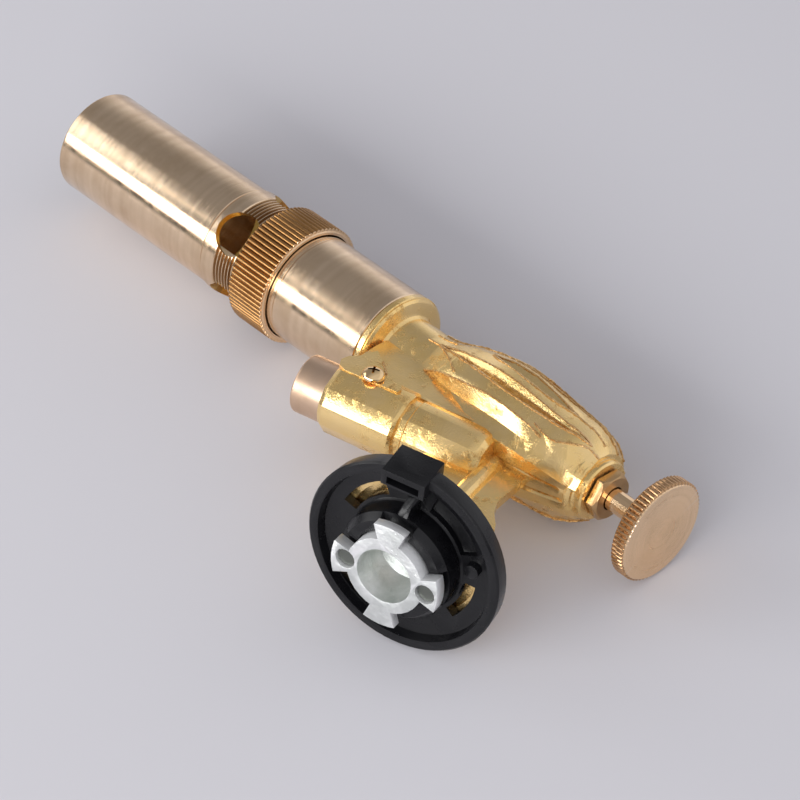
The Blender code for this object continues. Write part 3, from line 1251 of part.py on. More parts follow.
def resting_normal():
    """Upward direction for a floor that touches the disc rim, the air ring and the knob."""
    along = BODY.to_3x3() @ Vector((0.0, 0.0, 1.0))
    cartridge = Vector((0.0, 0.0, 1.0))
    groups = (
        ((Vector((0.0, 0.0, DISC_EDGE)), cartridge, DISC_RADIUS),
         (Vector((0.0, 0.0, DISC_BACK - DISC_EDGE)), cartridge, DISC_BACK_RADIUS)),
        ((on_axis(RING_START + RING_EDGE, 0.0, 0.0), along, RING_RADIUS),
         (on_axis(RING_END - RING_EDGE, 0.0, 0.0), along, RING_RADIUS)),
        ((on_axis(KNOB_FACE + KNOB_EDGE, 0.0, 0.0), along, KNOB_RADIUS),
         (on_axis(KNOB_BACK - KNOB_EDGE, 0.0, 0.0), along, KNOB_RADIUS)),
    )

    def lows(tilt):
        normal = Vector((tilt[0], 1.0, tilt[1])).normalized()
        return [min(circle_low(normal, *circle) for circle in group) for group in groups]

    tilt = np.zeros(2)
    step = TILT_STEP_SHARE
    for _ in range(TILT_ROUNDS):
        base = lows(tilt)
        error = np.array([base[1] - base[0], base[2] - base[0]])
        slope = np.zeros((2, 2))
        for k in range(2):
            moved = tilt.copy()
            moved[k] += step
            near = lows(moved)
            slope[:, k] = (np.array([near[1] - near[0], near[2] - near[0]]) - error) / step
        tilt = tilt - np.linalg.solve(slope, error)
    return Vector((tilt[0], 1.0, tilt[1])).normalized()


def rest_on_floor(root):
    up = resting_normal()
    along = BODY.to_3x3() @ Vector((0.0, 0.0, 1.0))
    back = -(along - up * along.dot(up)).normalized()
    side = up.cross(back)
    turn = Matrix((back, side, up)).to_4x4()
    root.matrix_world = turn
    bpy.context.view_layer.update()
    low = Vector((math.inf,) * 3)
    high = Vector((-math.inf,) * 3)
    for obj in bpy.context.scene.objects:
        if obj.type != 'MESH':
            continue
        for vertex in obj.data.vertices:
            point = obj.matrix_world @ vertex.co
            for k in range(3):
                low[k] = min(low[k], point[k])
                high[k] = max(high[k], point[k])
    shift = Vector((-(low.x + high.x) / 2.0, -(low.y + high.y) / 2.0, -low.z))
    root.matrix_world = Matrix.Translation(shift) @ turn
    bpy.context.view_layer.update()
    print("SIZE", *(round(high[k] - low[k], 6) for k in range(3)))


def report(root):
    world = root.matrix_world
    print("TORCH_TO_WORLD")
    for row in world:
        print("  ", *(round(value, 8) for value in row))
    for name, frame in (("body", BODY), ("igniter", IGNITER), ("cartridge", CARTRIDGE)):
        origin = world @ frame.translation
        axis = (world.to_3x3() @ frame.to_3x3() @ Vector((0.0, 0.0, 1.0))).normalized()
        print("AXIS", name, *(round(v, 7) for v in origin), "|", *(round(v, 7) for v in axis))
    total = 0
    for obj in sorted(bpy.context.scene.objects, key=lambda item: item.name):
        if obj.type == 'MESH':
            obj.data.calc_loop_triangles()
            count = len(obj.data.loop_triangles)
            total += count
            print("NODE", obj.name, count)
    print("TRIANGLES", total)


def build():
    for obj in list(bpy.data.objects):
        bpy.data.objects.remove(obj)
    make_casting()
    make_barrel()
    make_flame_tube()
    make_air_ring()
    hollow("air_ring_seal", "rubber", RING_SEAL_RADIUS, RING_SEAL_BORE, RING_SEAL_START, RING_SEAL_END,
           SEGMENTS_LARGE, BODY)
    make_jet()
    make_flame_holder()
    make_electrode()
    make_valve()
    make_igniter()
    make_housing_screw("housing_screw_upper", 1.0)
    make_housing_screw("housing_screw_lower", -1.0)
    make_disc()
    make_insert()
    make_inlet()
    root = bpy.data.objects.new("torch_root", None)
    bpy.context.scene.collection.objects.link(root)
    for obj in bpy.context.scene.objects:
        if obj.type == 'MESH':
            obj.parent = root
    rest_on_floor(root)
    report(root)


build()
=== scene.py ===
"""Looks of the butane torch head: detailed metal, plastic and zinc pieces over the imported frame.

Every length is in metres. A piece is modelled about its own axis, with local z along it, and is then
set into the resting torch by one of the matrices below. A name that ends in share or shares holds
parts of the size that they are multiplied with.
"""

import math

import bmesh
import bpy
from mathutils import Matrix, Vector, noise


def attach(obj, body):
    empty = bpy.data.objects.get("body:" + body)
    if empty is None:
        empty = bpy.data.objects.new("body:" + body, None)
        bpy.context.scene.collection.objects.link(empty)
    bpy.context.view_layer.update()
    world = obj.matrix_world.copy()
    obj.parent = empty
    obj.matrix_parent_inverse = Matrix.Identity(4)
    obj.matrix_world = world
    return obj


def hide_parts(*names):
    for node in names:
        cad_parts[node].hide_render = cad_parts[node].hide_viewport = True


bl_info = {
    "name": "Butane Torch Head",
    "version": (1, 0, 0),
    "blender": (4, 5, 0),
    "location": "3D View > Sidebar > Torch",
    "description": "Dresses the packed torch head with detailed pieces, finishes and a studio",
    "category": "Object",
}

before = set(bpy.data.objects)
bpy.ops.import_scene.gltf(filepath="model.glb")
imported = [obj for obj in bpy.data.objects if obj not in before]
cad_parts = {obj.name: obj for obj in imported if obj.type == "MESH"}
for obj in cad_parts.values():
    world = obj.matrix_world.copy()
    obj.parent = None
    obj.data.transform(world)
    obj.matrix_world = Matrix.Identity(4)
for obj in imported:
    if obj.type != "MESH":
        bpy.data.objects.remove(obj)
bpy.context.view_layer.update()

# The torch as it lies on disc, air ring and knob, which the CAD works out: origin at the collar
# disc's front rim, local z away from the cartridge. The two axes give their heights over that rim.
RESTING = Matrix((
    (-0.96184665, 0.0237508, -0.27255628, 0.06507668),
    (-0.26237807, 0.20218343, 0.94354624, -0.02652027),
    (0.07751635, 0.97905958, -0.18823776, 0.02323329),
    (0.0, 0.0, 0.0, 1.0),
))
AXIS_HEIGHT = 0.05224
AXIS_TILT = math.radians(15.54)
IGNITER_HEIGHT = 0.03835
IGNITER_TILT = math.radians(1.1)


def leaning_axis(height, tilt):
    """Local x is the torch's upper side, local z runs toward the muzzle."""
    along = Vector((math.cos(tilt), 0.0, math.sin(tilt)))
    side = Vector((0.0, 1.0, 0.0))
    matrix = Matrix((side, along.cross(side), along)).transposed().to_4x4()
    matrix.translation = Vector((0.0, 0.0, height))
    return RESTING @ matrix


BODY_AXIS = leaning_axis(AXIS_HEIGHT, AXIS_TILT)
IGNITER_AXIS = leaning_axis(IGNITER_HEIGHT, IGNITER_TILT)

# Flame tube: radii and places along the body axis.
TUBE_RADIUS = 0.01273
TUBE_BORE = 0.0117
TUBE_START = 0.0926
TUBE_END = 0.1434
TUBE_LIP_SHARE = 2

# Rear barrel with its spigot, grooves, thread and air holes.
BARREL_RADIUS = 0.0131
BARREL_BORE = 0.0114
BARREL_START = 0.0413
BARREL_END = 0.0923
SPIGOT_RADIUS = 0.0114
SPIGOT_BORE = 0.0103
SPIGOT_END = 0.0985
THREAD_END = 0.0890
THREAD_START = 0.0700
THREAD_STEP = 0.00025
THREAD_CREST_SHARES = (0.0, 0.22)
THREAD_ROOT_SHARES = (0.5, 0.72)
THREAD_FLANK_SHARE = 0.3
GROOVES = (0.0684, 0.0673)
GROOVE_WIDTH = 0.00032
GROOVE_DEPTH = 0.00018
GROOVE_SHARES = ((0.0, 0.0), (0.3, 1.0), (0.7, 1.0), (1.0, 0.0))
AIR_HOLE_RADIUS = 0.00545
AIR_HOLE_PLACE = 0.0854
AIR_HOLE_ANGLES = (-43.0, 47.0, 137.0, 227.0)
HOLE_OVER_SHARE = 1.1
HOLE_REACH_SHARE = 1.02
HOLE_WALL_LEAN = 0.25

# Air ring and knob. One tooth runs from groove to groove: a broad crest between narrow grooves.
TOOTH_SHARES = (0.0, 0.68, 0.97, 1.0, 0.97, 0.68)
RING_RADIUS = 0.0149
RING_ROOT = 0.01435
RING_BORE = 0.0134
RING_START = 0.0694
RING_END = 0.0809
RING_TEETH = 74
RING_FACE_SHARE = 1.3
KNOB_RADIUS = 0.0122
KNOB_ROOT = 0.0117
KNOB_BACK = -0.0379
KNOB_FACE = -0.0417
KNOB_TEETH = 64
KNOB_LOOP_SHARE = 0.6
KNOB_FACE_SHARE = 1.4

# Spindle and gland nut.
STEM_RADIUS = 0.0026
STEM_HOLE_SHARE = 1.1
HEX_RADIUS = 0.0059
HEX_START = -0.0272
HEX_END = -0.0245
CROWN_SHARE = 0.8
CROWN_OVER_SHARE = 1.02
HEX_HOLE_SHARES = (1.2, 0.7)

# Igniter button cap, along the igniter axis.
CAP_RADIUS = 0.0068
CAP_BORE = 0.0056
CAP_START = 0.0360
CAP_END = 0.0481
CAP_FLOOR = 0.0466
CAP_RIM_SHARE = 3

# Housing screws, in torch x, y and z.
SCREW_X = 0.0320
SCREW_Z = 0.0400
SCREW_SEAT = 0.0089
SCREW_TURN = math.radians(20.0)
SCREW_HEAD_RADIUS = 0.00265
SCREW_HEAD_HEIGHT = 0.0019
SCREW_SEAT_SHARE = 0.96
SCREW_RIM_SHARE = 0.08
SCREW_DOME_SHARE = 0.92
SCREW_SHANK_RADIUS = 0.0011
SCREW_SHANK_LENGTH = 0.0018
CROSS_LENGTH = 0.0034
CROSS_WIDTH = 0.0007
CROSS_DEPTH = 0.0011
CROSS_FLOOR_SHARE = 0.62

# Worn ridges of the casting: places along the body axis and distances from it.
RIDGE_SPAN = (-0.0230, 0.0310)
RIDGE_REACH = (0.006, 0.021)
RIDGE_FLAT = math.radians(3.0)
RIDGE_BEND = math.radians(10.0)
RIDGE_ALONG = 0.75
HOUSING_CLEAR = 0.0098
BEAD_WAVES = 1300.0
BEAD_STEP_SHARE = 0.7
BEAD_END_SHARE = 0.3
BEAD_RADIUS_SHARE = 0.42
BEAD_SWELL_SHARE = 0.3

# Bayonet insert.
INSERT_BORE = 0.0065
INSERT_BORE_SHARE = 0.99

# Mesh steps, weld distance and the angles past which an edge is bevelled or sharp.
STEPS = 128
SCREW_STEPS = 64
HOLE_STEPS = 64
DRUM_STEPS = 48
DOME_STEPS = 12
BEAD_STEPS = 8
LIP_STEPS = 5
RIM_STEPS = 6
WELD = 0.000002
FLAT_ANGLE = math.radians(0.5)
SHARP_ANGLE = math.radians(32.0)
KNURL_SHARP = math.radians(40.0)
THREAD_SHARP = math.radians(25.0)
CASTING_SHARP = math.radians(14.0)
CASTING_BEVEL = math.radians(13.0)
MOULDED_BEVEL = math.radians(24.0)

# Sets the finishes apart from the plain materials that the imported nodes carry.
LOOK = "look_"


class TorchSizes(bpy.types.PropertyGroup):
    """Sizes of the fine surface work"""
    thread_pitch: bpy.props.FloatProperty(
        name="Thread pitch", description="Distance between two crests of the barrel thread",
        default=0.001, min=0.0005, max=0.002, subtype='DISTANCE', unit='LENGTH')
    thread_depth: bpy.props.FloatProperty(
        name="Thread depth", description="Depth of the barrel thread below its crests",
        default=0.0005, min=0.0, max=0.0008, subtype='DISTANCE', unit='LENGTH')
    edge_round: bpy.props.FloatProperty(
        name="Edge rounding", description="Radius of the small rounded edges on turned pieces",
        default=0.00025, min=0.00005, max=0.0006, subtype='DISTANCE', unit='LENGTH')
    casting_edge: bpy.props.FloatProperty(
        name="Casting edges", description="Width of the rounded edges of the casting",
        default=0.00028, min=0.0001, max=0.001, subtype='DISTANCE', unit='LENGTH')
    ridge_width: bpy.props.FloatProperty(
        name="Ridge width", description="Width of the worn beads along the casting's ridges",
        default=0.0006, min=0.0002, max=0.001, subtype='DISTANCE', unit='LENGTH')
    plastic_edge: bpy.props.FloatProperty(
        name="Moulded edges", description="Width of the rounded edges of disc and insert",
        default=0.00016, min=0.00005, max=0.0005, subtype='DISTANCE', unit='LENGTH')


class TorchColours(bpy.types.PropertyGroup):
    """Base colours of the finishes"""
    satin: bpy.props.FloatVectorProperty(
        name="Satin brass", description="Turned barrel and flame tube", subtype='COLOR',
        size=4, default=(0.88, 0.67, 0.465, 1.0), min=0.0, max=1.0)
    knurl: bpy.props.FloatVectorProperty(
        name="Knurled brass", description="Air ring", subtype='COLOR',
        size=4, default=(0.38, 0.205, 0.078, 1.0), min=0.0, max=1.0)
    casting: bpy.props.FloatVectorProperty(
        name="Gold casting", description="Plated die casting", subtype='COLOR',
        size=4, default=(1.0, 0.725, 0.34, 1.0), min=0.0, max=1.0)
    knob: bpy.props.FloatVectorProperty(
        name="Turned knob", description="Valve knob and spindle", subtype='COLOR',
        size=4, default=(0.98, 0.69, 0.42, 1.0), min=0.0, max=1.0)
    plastic: bpy.props.FloatVectorProperty(
        name="Black plastic", description="Collar disc", subtype='COLOR',
        size=4, default=(0.004, 0.004, 0.005, 1.0), min=0.0, max=1.0)
    zinc: bpy.props.FloatVectorProperty(
        name="Zinc", description="Bayonet insert", subtype='COLOR',
        size=4, default=(0.82, 0.83, 0.83, 1.0), min=0.0, max=1.0)


class TorchStudio(bpy.types.PropertyGroup):
    """Floor and light of the studio"""
    floor: bpy.props.FloatVectorProperty(
        name="Floor", description="Colour of the paper floor", subtype='COLOR',
        size=4, default=(0.645, 0.634, 0.668, 1.0), min=0.0, max=1.0)
    key_power: bpy.props.FloatProperty(
        name="Key light", description="Power of the large soft light", default=42.0,
        min=0.0, max=200.0, unit='POWER')
    fill_power: bpy.props.FloatProperty(
        name="Fill light", description="Power of the side light", default=2.5,
        min=0.0, max=100.0, unit='POWER')


def sizes():
    return bpy.context.scene.torch_sizes


def colours():
    return bpy.context.scene.torch_colours


# Mesh work
def settled(bm):
    """Welds doubles, drops what collapsed and turns all faces outward."""
    bmesh.ops.remove_doubles(bm, verts=bm.verts, dist=WELD)
    bmesh.ops.dissolve_degenerate(bm, edges=bm.edges, dist=WELD)
    bmesh.ops.recalc_face_normals(bm, faces=bm.faces)
    return bm


def turned(profile, closed=False, steps=STEPS):
    """Spins (place, radius) pairs about the local z axis."""
    bm = bmesh.new()
    row = [bm.verts.new((radius, 0.0, place)) for place, radius in profile]
    edges = [bm.edges.new(pair) for pair in zip(row, row[1:])]
    if closed:
        edges.append(bm.edges.new((row[-1], row[0])))
    bmesh.ops.spin(bm, geom=row + edges, cent=(0, 0, 0), axis=(0, 0, 1), dvec=(0, 0, 0),
                   angle=math.tau, steps=steps, use_merge=True, use_duplicate=False)
    return settled(bm)


def rounded(profile, radius, steps=3):
    """Rounds the corners of an open (place, radius) profile."""
    result = [profile[0]]
    for before, corner, after in zip(profile, profile[1:], profile[2:]):
        b, c, a = Vector(before), Vector(corner), Vector(after)
        # two roundings on one short side leave a little of it straight
        reach = min(radius, (b - c).length / 2.2, (a - c).length / 2.2)
        start = c + (b - c).normalized() * reach
        end = c + (a - c).normalized() * reach
        for k in range(steps + 1):
            t = k / steps
            point = start * (1 - t) ** 2 + c * (2 * t * (1 - t)) + end * t ** 2
            result.append((point.x, point.y))
    result.append(profile[-1])
    return result


def rounded_loop(profile, radius, steps=3):
    """Rounds every corner of a profile that closes on itself."""
    return rounded([profile[-1], *profile, profile[0]], radius, steps)[1:-1]


def turn_order(verts):
    """Points of a ring, sorted by their angle about the z axis."""
    return sorted(verts, key=lambda vert: math.atan2(vert.co.y, vert.co.x) % math.tau)


def knurled(levels, teeth, closed):
    """Rings of tooth points: levels are (place, tip radius, root radius)."""
    bm = bmesh.new()
    count = teeth * len(TOOTH_SHARES)
    made = bmesh.ops.create_circle(bm, segments=count, radius=1.0)
    loop = turn_order(made["verts"])
    edges = list(bm.edges)
    first = edges
    for number, (place, tip, root) in enumerate(levels):
        if number:
            made = bmesh.ops.extrude_edge_only(bm, edges=edges)["geom"]
            edges = [item for item in made if isinstance(item, bmesh.types.BMEdge)]
            loop = turn_order(item for item in made if isinstance(item, bmesh.types.BMVert))
        for i, vert in enumerate(loop):
            share = TOOTH_SHARES[i % len(TOOTH_SHARES)]
            angle = math.tau * i / count
            # a loop that shrinks to the axis keeps its order with a hair of radius
            reach = max(root + (tip - root) * share, WELD / 4)
            vert.co = Vector((reach * math.cos(angle), reach * math.sin(angle), place))
    if closed:
        bmesh.ops.bridge_loops(bm, edges=first + edges)
    return settled(bm)


def drum(start, end, radius, steps=DRUM_STEPS):
    """Plain round bar used to cut holes."""
    bm = bmesh.new()
    bmesh.ops.create_cone(bm, cap_ends=True, segments=steps, radius1=radius, radius2=radius,
                          depth=end - start)
    bmesh.ops.translate(bm, vec=(0, 0, (start + end) / 2), verts=bm.verts)
    return bm


def mesh_object(bm, name, place):
    """New object at the origin, with the shape's place in its mesh."""
    bmesh.ops.transform(bm, matrix=place, verts=bm.verts)
    mesh = bpy.data.meshes.new(name)
    bm.to_mesh(mesh)
    bm.free()
    piece = bpy.data.objects.new(name, mesh)
    bpy.context.scene.collection.objects.link(piece)
    return piece


def applied(piece):
    """Replaces the piece's mesh by what its modifiers make of it."""
    bpy.context.view_layer.update()
    graph = bpy.context.evaluated_depsgraph_get()
    mesh = bpy.data.meshes.new_from_object(piece.evaluated_get(graph))
    piece.modifiers.clear()
    old = piece.data
    piece.data = mesh
    bpy.data.meshes.remove(old)
    return piece


def carve(piece, cutters, operation='DIFFERENCE'):
    """Cuts the piece with each (shape, place), or keeps only what they share."""
    for bm, place in cutters:
        tool = mesh_object(bm, "tool", place)
        modifier = piece.modifiers.new("carve", 'BOOLEAN')
        modifier.operation = operation
        modifier.solver = 'EXACT'
        modifier.object = tool
        applied(piece)
        bpy.data.objects.remove(tool)


def dress(piece, finish, body, node_name, sharp=SHARP_ANGLE):
    """Finish, shading, body and the CAD node that the piece stands for."""
    mesh = piece.data
    mesh.materials.clear()
    mesh.materials.append(finish_of(finish))
    mesh.shade_smooth()
    mesh.set_sharp_from_angle(angle=sharp)
    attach(piece, body)
    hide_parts(node_name)


def second_finish(piece, finish, axis, chosen):
    """Adds a finish on the faces whose centre, as seen from the axis, is chosen."""
    piece.data.materials.append(finish_of(finish))
    inverse = axis.inverted()
    for face in piece.data.polygons:
        if chosen(inverse @ face.center):
            face.material_index = 1


def cad_copy(node_name, flat):
    """Welded copy of a CAD node's mesh without the edges across its flat faces."""
    bm = bmesh.new()
    bm.from_mesh(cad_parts[node_name].data)
    bmesh.ops.remove_doubles(bm, verts=bm.verts, dist=WELD)
    bmesh.ops.dissolve_limit(bm, angle_limit=flat, verts=bm.verts, edges=bm.edges)
    return bm


def crisp(node_name, name, width, angle):
    """Copy of a CAD node whose edges get a narrow rounded bevel."""
    piece = mesh_object(cad_copy(node_name, FLAT_ANGLE), name, Matrix.Identity(4))
    bevel = piece.modifiers.new("bevel", 'BEVEL')
    bevel.width = width
    bevel.segments = 2
    bevel.limit_method = 'ANGLE'
    bevel.angle_limit = angle
    bevel.use_clamp_overlap = True
    return applied(piece)


def ridge_lines():
    """Start and end of each long edge that bends outward on the casting's fluted body."""
    bm = cad_copy("body_casting", RIDGE_FLAT)
    body, igniter = BODY_AXIS.inverted(), IGNITER_AXIS.inverted()
    lines = []
    for edge in bm.edges:
        if len(edge.link_faces) != 2 or edge.calc_face_angle_signed() < RIDGE_BEND:
            continue
        start, end = (vert.co.copy() for vert in edge.verts)
        middle = body @ start.lerp(end, 0.5)
        aside = igniter @ start.lerp(end, 0.5)
        along = (body.to_3x3() @ (end - start)).normalized()
        if (RIDGE_SPAN[0] < middle.z < RIDGE_SPAN[1] and abs(along.z) > RIDGE_ALONG
                and RIDGE_REACH[0] < math.hypot(middle.x, middle.y) < RIDGE_REACH[1]
                and math.hypot(aside.x, aside.y) > HOUSING_CLEAR):
            lines.append((start, end))
    bm.free()
    return lines


def ridge_bead(start, end, width):
    """Narrow uneven bar from start to end, with pointed ends."""
    length = (end - start).length
    steps = max(2, int(length / (width * BEAD_STEP_SHARE)))
    profile = [(-width * BEAD_END_SHARE, 0.0)]
    for k in range(steps + 1):
        swell = noise.noise(start.lerp(end, k / steps) * BEAD_WAVES)
        profile.append((length * k / steps,
                        width * (BEAD_RADIUS_SHARE + BEAD_SWELL_SHARE * swell)))
    profile.append((length + width * BEAD_END_SHARE, 0.0))
    bead = turned(profile, steps=BEAD_STEPS)
    place = (end - start).to_track_quat('Z', 'Y').to_matrix().to_4x4()
    place.translation = start
    bmesh.ops.transform(bead, matrix=place, verts=bead.verts)
    return bead


def ridge_beads(piece, width):
    """Lays a bead along each long ridge of the casting."""
    whole = bmesh.new()
    whole.from_mesh(piece.data)
    for start, end in ridge_lines():
        bead = ridge_bead(start, end, width)
        scrap = bpy.data.meshes.new("bead")
        bead.to_mesh(scrap)
        bead.free()
        whole.from_mesh(scrap)
        bpy.data.meshes.remove(scrap)
    whole.to_mesh(piece.data)
    whole.free()


# Shader building blocks
def new_group(name, inputs, outputs):
    """Node group with number or vector inputs, as (label, default), and number outputs."""
    group = bpy.data.node_groups.new(name, 'ShaderNodeTree')
    for label, value in inputs:
        kind = 'NodeSocketVector' if value is None else 'NodeSocketFloat'
        item = group.interface.new_socket(name=label, in_out='INPUT', socket_type=kind)
        if value is not None:
            item.default_value = value
    for label in outputs:
        group.interface.new_socket(name=label, in_out='OUTPUT', socket_type='NodeSocketFloat')
    start = group.nodes.new('NodeGroupInput')
    end = group.nodes.new('NodeGroupOutput')
    return group, start.outputs, end.inputs


def node(tree, kind, inputs=None, **settings):
    """New shader node. An input is a value, or another node's output that is linked to it."""
    made = tree.nodes.new(kind)
    for key, value in settings.items():
        setattr(made, key, value)
    for key, value in (inputs or {}).items():
        if isinstance(value, bpy.types.NodeSocket):
            tree.links.new(value, made.inputs[key])
        else:
            made.inputs[key].default_value = value
    return made


def maths(tree, operation, first, second):
    return node(tree, 'ShaderNodeMath', {0: first, 1: second}, operation=operation).outputs[0]


def product(tree, first, second):
    return maths(tree, 'MULTIPLY', first, second)


def total(tree, first, second):
    return maths(tree, 'ADD', first, second)


def span(tree, value, levels, results=(0.0, 1.0)):
    """Maps a pair of levels onto a pair of results, and holds them beyond."""
    return node(tree, 'ShaderNodeMapRange', {
        'Value': value, 'From Min': levels[0], 'From Max': levels[1],
        'To Min': results[0], 'To Max': results[1]}).outputs[0]


def mixed(tree, share, first, second):
    """Colour between the first and the second."""
    made = node(tree, 'ShaderNodeMix', {0: share, 6: first, 7: second}, data_type='RGBA')
    return made.outputs[2]


def vectors(tree, operation, first, second):
    made = node(tree, 'ShaderNodeVectorMath', {0: first, 1: second}, operation=operation)
    return made.outputs[0]


def clouded(tree, coords, scale, detail=2.0, rough=0.5):
    """Noise texture on the given coordinates."""
    return node(tree, 'ShaderNodeTexNoise', {
        'Vector': coords, 'Scale': scale, 'Detail': detail, 'Roughness': rough})


def raised(tree, height, distance):
    """Surface normal of a relief."""
    return node(tree, 'ShaderNodeBump', {
        'Height': height, 'Distance': distance, 'Strength': 1.0}).outputs[0]


def shaded(colour, shares):
    """Colour with each channel taken to its share."""
    return tuple(channel * share for channel, share in zip(colour, shares)) + (1.0,)


# Lathe lines per metre, how fast they change round the axis, and the scratches' net.
FINE_LINES = 3500.0
COARSE_LINES = 260.0
LINE_SPREAD = (9.0, 9.0, 9.0)
SCRATCH_WANDER = 90.0
SCRATCH_NET = 3.0
SCRATCH_WIDTH = 0.004
# Detail and roughness of the noise.
FINE_NOISE = (3.0, 0.7)
COARSE_NOISE = (2.0, 0.5)
CLOUD_NOISE = (4.0, 0.6)


def turning_group():
    """Lathe lines: rings about the local z axis, fine and coarse, and a few handling scratches."""
    group, given, result = new_group("Turning marks", (
        ("Vector", None), ("Fine", FINE_LINES), ("Coarse", COARSE_LINES), ("Facing", 0.0)),
        ("Height", "Streaks", "Scratches"))
    parts = node(group, 'ShaderNodeSeparateXYZ', {0: given["Vector"]})
    flat = node(group, 'ShaderNodeCombineXYZ', {0: parts.outputs[0], 1: parts.outputs[1], 2: 0.0})
    reach = node(group, 'ShaderNodeVectorMath', {0: flat.outputs[0]}, operation='LENGTH')
    # a barrel's lines lie along the axis, a turned face's lines away from it
    along = total(group, product(group, parts.outputs[2],
                                 maths(group, 'SUBTRACT', 1.0, given["Facing"])),
                  product(group, reach.outputs["Value"], given["Facing"]))
    spread = vectors(group, 'MULTIPLY', flat.outputs[0], LINE_SPREAD)

    def lines(density, noise_kind):
        place = node(group, 'ShaderNodeCombineXYZ', {2: product(group, along, density)})
        coords = vectors(group, 'ADD', place.outputs[0], spread)
        return clouded(group, coords, 1.0, *noise_kind).outputs["Fac"]

    wander = clouded(group, given["Vector"], SCRATCH_WANDER)
    warped = vectors(group, 'ADD', given["Vector"], wander.outputs["Color"])
    cells = node(group, 'ShaderNodeTexVoronoi', {'Vector': warped, 'Scale': SCRATCH_NET},
                 feature='DISTANCE_TO_EDGE')
    scratch = span(group, cells.outputs["Distance"], (0.0, SCRATCH_WIDTH), (1.0, 0.0))
    group.links.new(lines(given["Fine"], FINE_NOISE), result["Height"])
    group.links.new(lines(given["Coarse"], COARSE_NOISE), result["Streaks"])
    group.links.new(scratch, result["Scratches"])
    return group


SPECK_LEVELS = (0.05, 0.16)


def grain_group():
    """Cloudy stains, fine pits and dust specks at three scales."""
    group, given, result = new_group("Grain and stains", (
        ("Vector", None), ("Cloud scale", 60.0), ("Pit scale", 900.0)),
        ("Clouds", "Pits", "Specks"))
    clouds = clouded(group, given["Vector"], given["Cloud scale"], *CLOUD_NOISE)
    pits = clouded(group, given["Vector"], given["Pit scale"])
    specks = node(group, 'ShaderNodeTexVoronoi', {
        'Vector': given["Vector"], 'Scale': given["Pit scale"]})
    dots = span(group, specks.outputs["Distance"], SPECK_LEVELS, (1.0, 0.0))
    group.links.new(clouds.outputs["Fac"], result["Clouds"])
    group.links.new(pits.outputs["Fac"], result["Pits"])
    group.links.new(dots, result["Specks"])
    return group


def edge_group():
    """Where the surface bends outward (edges) and inward (corners, which the finishes darken as
    painted shade).
    """
    group, given, result = new_group("Edges and corners", (("Width", 0.06),),
                                     ("Edges", "Shaded corners"))
    bend = node(group, 'ShaderNodeNewGeometry').outputs["Pointiness"]
    # a flat place has a pointiness of one half
    for label, operation in (("Edges", 'ADD'), ("Shaded corners", 'SUBTRACT')):
        limit = maths(group, operation, 0.5, given["Width"])
        group.links.new(span(group, bend, (0.5, limit)), result[label])
    return group


def place_group(tree, name, maker, inputs):
    """Places a shared node group, which is made the first time."""
    group = bpy.data.node_groups.get(name) or maker()
    return node(tree, 'ShaderNodeGroup', inputs, node_tree=group).outputs


def turning_marks(tree, coords, fine, coarse, facing):
    return place_group(tree, "Turning marks", turning_group, {
        "Vector": coords, "Fine": fine, "Coarse": coarse, "Facing": facing})


def grain_marks(tree, coords, cloud_scale, pit_scale):
    return place_group(tree, "Grain and stains", grain_group, {
        "Vector": coords, "Cloud scale": cloud_scale, "Pit scale": pit_scale})


def edge_marks(tree, width):
    return place_group(tree, "Edges and corners", edge_group, {"Width": width})


def start_material(name, axis=None):
    """Empty material with its shader's inputs and object coordinates turned onto an axis."""
    material = bpy.data.materials.new(LOOK + name)
    material.use_nodes = True
    tree = material.node_tree
    coords = node(tree, 'ShaderNodeTexCoord').outputs["Object"]
    if axis is not None:
        inverse = axis.inverted()
        coords = node(tree, 'ShaderNodeMapping', {
            'Vector': coords, 'Location': inverse.translation,
            'Rotation': inverse.to_euler('XYZ')}, vector_type='POINT').outputs[0]
    return material, tree, tree.nodes["Principled BSDF"].inputs, coords


# Turned metal: pattern scales per metre, noise levels and what they give.
METAL_GRAIN = (75.0, 900.0)
METAL_EDGE = 0.12
METAL_STAIN_AND_SHADE_SHARES = (0.66, 0.6, 0.52)
METAL_CREST = 2.1
METAL_CREST_LIMIT = 0.95
STREAK_LEVELS = (0.35, 0.7)
STAIN_LEVELS = (0.42, 0.7)
STAIN_GAIN = 1.6
STREAK_ROUGH_LEVELS = (0.3, 0.7)
STREAK_ROUGH = (-0.06, 0.08)
STAIN_ROUGH_LEVELS = (0.4, 0.7)
STAIN_ROUGH = (-0.03, 0.08)
SCRATCH_ROUGH = 0.25
STREAK_HEIGHT = 0.25


